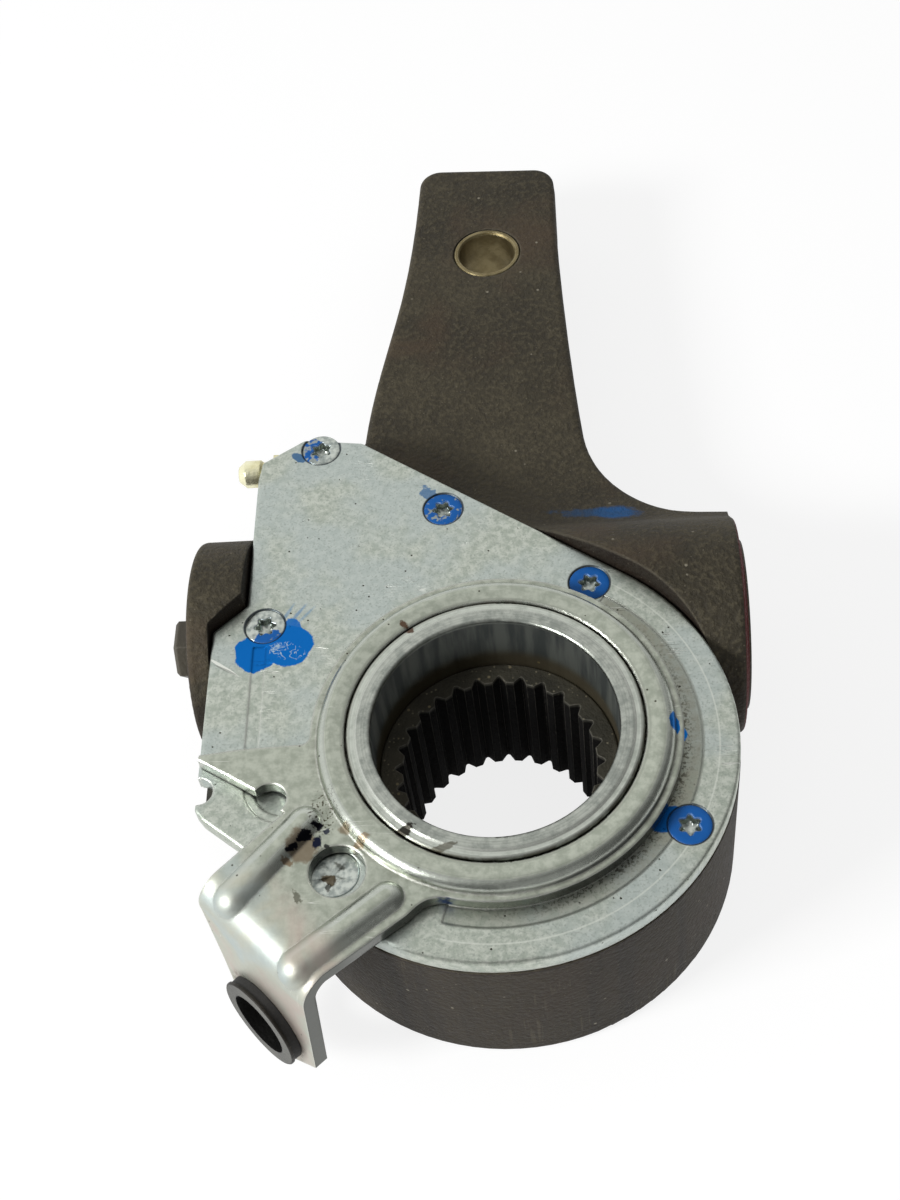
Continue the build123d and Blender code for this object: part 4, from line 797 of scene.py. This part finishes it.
dress(plain_finish("seal_rubber", (18, 18, 18), (30, 29, 28), 0.7, 0.0, 1800.0, 0.0002),
      "cover_seal", "wheel_seal", "shaft_seal", "retainer_seal", "lug_grommet")
dress(plain_finish("gasket_fibre", (44, 42, 38), (60, 58, 52), 0.85, 0.0, 1400.0, 0.0002), "cover_gasket")
dress(plain_finish("spring_wire", (92, 90, 86), (122, 120, 114), 0.35, 0.9, 1600.0, 0.0001),
      "pressure_spring", "one_way_spring")
dress(plain_finish("bearing_steel", (196, 196, 194), (220, 220, 218), 0.12, 1.0, 2200.0, 0.00002),
      "thrust_race_inner", "thrust_race_outer", "thrust_balls")
dress(plain_finish("pressed_brass", (176, 146, 84), (196, 166, 100), 0.35, 1.0, 1500.0, 0.0001),
      "thrust_cage")

# %% [markdown]
# **The cover screws.** Each has a flat head sunk into the cover and a six-lobed star recess.
# A star is a circle whose radius swells six times in a turn, so the head is built as a stack
# of rings with the same number of points: the innermost ones follow the star and the outer
# ones are round. Walls between neighbouring rings close the shape. The head under the arm's
# access hole is different: wider, without a star, and pressed in with creases.

# %% The stacks of rings
cover_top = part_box("cover_plate")[1].z
head_sunk = 0.1
wide_spot = (-28.69, -25.83)
dish_r = 4.3
points_round = 96
star_stack = [(0.9, 0.9, -2.0), (1.25, 1.7, -1.7), (1.45, 2.05, -0.25), (1.62, 2.25, -0.02), (2.9, 2.9, 0.03),
              (3.62, 3.62, 0.0), (3.84, 3.84, -0.1), (3.93, 3.93, -0.3), (2.3, 2.3, -1.9), (2.3, 2.3, -6.7)]
dish_stack = [(0.25, 0.25, -0.62), (1.6, 1.6, -0.5), (3.2, 3.2, -0.2), (dish_r, dish_r, 0.02),
              (4.55, 4.55, 0.0), (4.65, 4.65, -0.3), (2.3, 2.3, -2.6), (2.3, 2.3, -6.7)]
print("cover's top at", round(cover_top / mm, 2), "mm, rings in a star head:", len(star_stack))

# %% [markdown]
# Each ring has a low radius, a high radius and a depth, in millimetres: the valleys and tips
# of the star, which are the same where the ring is round. A crease lifts the dish in folds
# that fade toward its middle and its rim.

# %% Build the screw heads
def star(angle, low, high):
    """Radius of a six-lobed star at an angle, between its valleys and its tips."""
    wave = 0.5 + 0.5 * math.cos(6 * angle)
    return low + (high - low) * wave ** 1.3


def add_screw(bm, x, y, turn, stack, crease=0.0):
    """Adds one screw: rings of points from the middle of its face out, over and down the shank."""
    rings_made = []
    for low, high, depth in stack:
        ring_points = []
        for number in range(points_round):
            angle = 2 * math.pi * number / points_round
            radius = star(angle, low, high)
            fold = abs(math.sin(2.5 * angle)) * crease * math.sin(math.pi * min(radius / dish_r, 1.0))
            spot = (x + radius * math.cos(angle + turn), y + radius * math.sin(angle + turn),
                    cover_top / mm - head_sunk + depth + fold)
            ring_points.append(bm.verts.new(Vector(spot) * mm))
        rings_made.append(ring_points)
    for inner, outer in zip(rings_made, rings_made[1:]):
        for number in range(points_round):
            after = (number + 1) % points_round
            bm.faces.new((inner[number], outer[number], outer[after], inner[after]))
    bm.faces.new(list(reversed(rings_made[0])))
    bm.faces.new(rings_made[-1])


first_turn, turn_step, wide_turn = 0.5, 0.7, 0.9
bm = bmesh.new()
for number, (x, y) in enumerate(screw_spots):
    add_screw(bm, x, y, first_turn + turn_step * number, star_stack)
add_screw(bm, *wide_spot, wide_turn, dish_stack, crease=0.22)
bmesh.ops.recalc_face_normals(bm, faces=bm.faces)
mesh = bpy.data.meshes.new("star_screws")
bm.to_mesh(mesh)
bm.free()
mesh.shade_smooth()
mesh.set_sharp_from_angle(angle=math.radians(32))
star_screws = bpy.data.objects.new("star_screws", mesh)
bpy.context.collection.objects.link(star_screws)
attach(star_screws, "root")
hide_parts("cover_screws")
print("screws:", len(screw_spots) + 1, "faces:", len(mesh.polygons))

# %% [markdown]
# The screws are zinc plated, and blue sealing paint covers some heads whole and some in part.
# Each coat is a dab that is moved off its centre where the head is only partly covered, and
# noise thins it: below its last number the zinc shows through. Down in the star there is no
# paint. The wide head has blots of old grease in its creases.

# %% Screw finish
screw_zinc, tree, shader, place = start_finish("sealed_screw", 0.3, 1.0)
mottle = noise(tree, place, 900.0, 5.0)
worn = use_group(tree, edge_wear, Place=place, Width=0.0004, Raggedness=0.2)
dirt_and_shade = use_group(tree, grime_and_shade, Place=place, Reach=0.0015, Amount=0.5)
on_face = soft_step(tree, split(tree, place)[2], cover_top - 0.5 * mm, cover_top - 0.2 * mm)
coats = [((18.2, 34.1), 4.6, 0.3, 0.0), ((33.7, -18.9), 4.6, 0.3, 0.0), ((-10.5, 54.1), 4.2, 1.6, 0.36),
         ((-38.0, 71.2), 3.1, 2.6, 0.42), ((-43.4, 23.6), 3.0, 1.8, 0.3)]
covered = None
for center, radius, ragged, thin in coats:
    coat = use_group(tree, dab, Place=place, Center=(center[0] * mm, center[1] * mm, 0.0),
                     Radius=radius * mm, Raggedness=ragged * mm, Grain=700.0)
    mask = product(tree, coat["Mask"], soft_step(tree, mottle, thin, thin + 0.1))
    covered = mask if covered is None else calc(tree, "MAXIMUM", covered, mask)
painted = product(tree, covered, on_face)
edges = product(tree, worn["Mask"], 0.75)
# The grime mask darkens the recesses: grime, and painted shade.
metal = paint_over(tree, tones(tree, soft_step(tree, mottle, 0.35, 0.65), (146, 154, 150), (198, 204, 196)),
                   (painted, 1.0, (18, 92, 168)), (edges, 1.0, (178, 200, 216)),
                   (dirt_and_shade["Mask"], 1.0, (50, 50, 46)))
blots = [((-29.3, -26.9), 30, (0.8, 1.1), 1.1, 2.6, 900.0, 0.2, 0.85, (82, 66, 40)),
         ((-29.5, -28.6), 0, (1.2, 0.7), 0.6, 1.8, 900.0, 0.15, 0.8, (44, 42, 34)),
         ((-27.6, -24.4), 40, (0.5, 1.6), 0.6, 1.6, 900.0, 0.2, 0.6, (84, 84, 72))]
metal = lay_dabs(tree, place, metal, blots)
bare = calc(tree, "SUBTRACT", 1.0, calc(tree, "SUBTRACT", painted, edges, clamp=True), clamp=True)
wire(tree, shader, Base_Color=metal, Metallic=bare, Roughness=remap(tree, painted, 0.28, 0.5))
shader.inputs["Specular IOR Level"].default_value = 0.25
relief(tree, shader, mottle, 0.00012, 0.5, worn["Rounded"])
star_screws.data.materials.append(screw_zinc)
print("sealed heads:", len(coats), "blots:", len(blots))

# %% [markdown]
# **Floor and light.** The photograph is cut out on white, so the floor is white to the camera
# and in reflections, but it still takes the object's shadow. For light that bounces, it is an
# ordinary pale floor. Light Path tells the two kinds of ray apart. To the camera the floor is
# mostly glow, with a little diffuse white on top that the shadow can darken.

# %% Floor
bpy.ops.mesh.primitive_plane_add(size=6.0, location=(0, 0, 0))
floor = bpy.context.object
floor.name = "studio_floor"
paper = bpy.data.materials.new("white_paper")
paper.use_nodes = True
tree = paper.node_tree
tree.nodes.clear()
ray = shader_node(tree, "ShaderNodeLightPath").outputs
seen_by_eye = calc(tree, "MAXIMUM", ray["Is Camera Ray"], ray["Is Glossy Ray"])
shown = calc(tree, "MAXIMUM", seen_by_eye, ray["Is Transmission Ray"])
pale = tones(tree, noise(tree, object_place(tree), 40.0, 4.0), (226, 226, 225), (232, 232, 231))
bouncing = shader_node(tree, "ShaderNodeBsdfDiffuse", {"Color": pale})
glow = shader_node(tree, "ShaderNodeEmission", {"Color": (1, 1, 1, 1), "Strength": 0.82})
shaded = shader_node(tree, "ShaderNodeBsdfDiffuse", {"Color": (0.24, 0.24, 0.24, 1)})
seen = shader_node(tree, "ShaderNodeAddShader", {0: glow.outputs[0], 1: shaded.outputs[0]})
either = shader_node(tree, "ShaderNodeMixShader", {0: shown, 1: bouncing.outputs[0], 2: seen.outputs[0]})
shader_node(tree, "ShaderNodeOutputMaterial", {"Surface": either.outputs[0]})
floor.data.materials.append(paper)
print("floor is", floor.dimensions.x, "m wide")

# %% [markdown]
# The world is a white backdrop for the camera. Metal mirrors its surroundings, and an evenly
# white room would make it look flat, so reflections see the backdrop bright on the left and
# behind, and dark on the right and in front. Diffuse light gets a plain even share.

# %% World
even_light = 0.37
bright_side = Vector((-0.62, 0.62, 0.2)).normalized()
world = bpy.data.worlds.new("studio_backdrop")
bpy.context.scene.world = world
world.use_nodes = True
tree = world.node_tree
tree.nodes.clear()
ray = shader_node(tree, "ShaderNodeLightPath").outputs
mirrored = calc(tree, "MAXIMUM", ray["Is Glossy Ray"], ray["Is Transmission Ray"])
shown = calc(tree, "MAXIMUM", ray["Is Camera Ray"], mirrored)
direction = shader_node(tree, "ShaderNodeTexCoord").outputs["Generated"]
toward = vector_calc(tree, "DOT_PRODUCT", direction, bright_side)
mirror_level = shader_node(tree, "ShaderNodeMapRange", {
    "Value": toward, "From Min": -0.42, "From Max": 0.75, "To Min": 0.13, "To Max": 1.0},
    interpolation_type="SMOOTHSTEP").outputs[0]
seen_level = shader_node(tree, "ShaderNodeMix", {0: mirrored, 2: 1.0, 3: mirror_level}, data_type="FLOAT")
level = shader_node(tree, "ShaderNodeMix", {0: shown, 2: even_light, 3: seen_level.outputs[0]},
                    data_type="FLOAT")
backdrop = shader_node(tree, "ShaderNodeBackground", {"Color": (1, 1, 1, 1), "Strength": level.outputs[0]})
shader_node(tree, "ShaderNodeOutputWorld", {"Surface": backdrop.outputs[0]})
print("world gives an even light of", even_light)

# %% [markdown]
# Two soft lamps give the forms. The key stands low on the left and a little in front: the
# photograph shows it by the lit front of the barrel, the bright left flanks of the beads and
# the shade that the raised seat throws along the lever's root. A weak fill comes from the right.

# %% Lamps
def soft_lamp(name, spot, aim, size, power):
    """A square lamp that looks at a point."""
    lamp = bpy.data.lights.new(name, "AREA")
    lamp.size = size
    lamp.energy = power
    stand = bpy.data.objects.new(name, lamp)
    stand.location = spot
    stand.rotation_euler = (Vector(aim) - Vector(spot)).to_track_quat("-Z", "Y").to_euler()
    bpy.context.collection.objects.link(stand)


lamp_aim = (0, 0.03, 0.02)
soft_lamp("key_lamp", (-0.80, -0.42, 0.64), lamp_aim, 0.3, 9.4)
soft_lamp("fill_lamp", (0.35, -0.85, 0.55), lamp_aim, 0.8, 0.5)
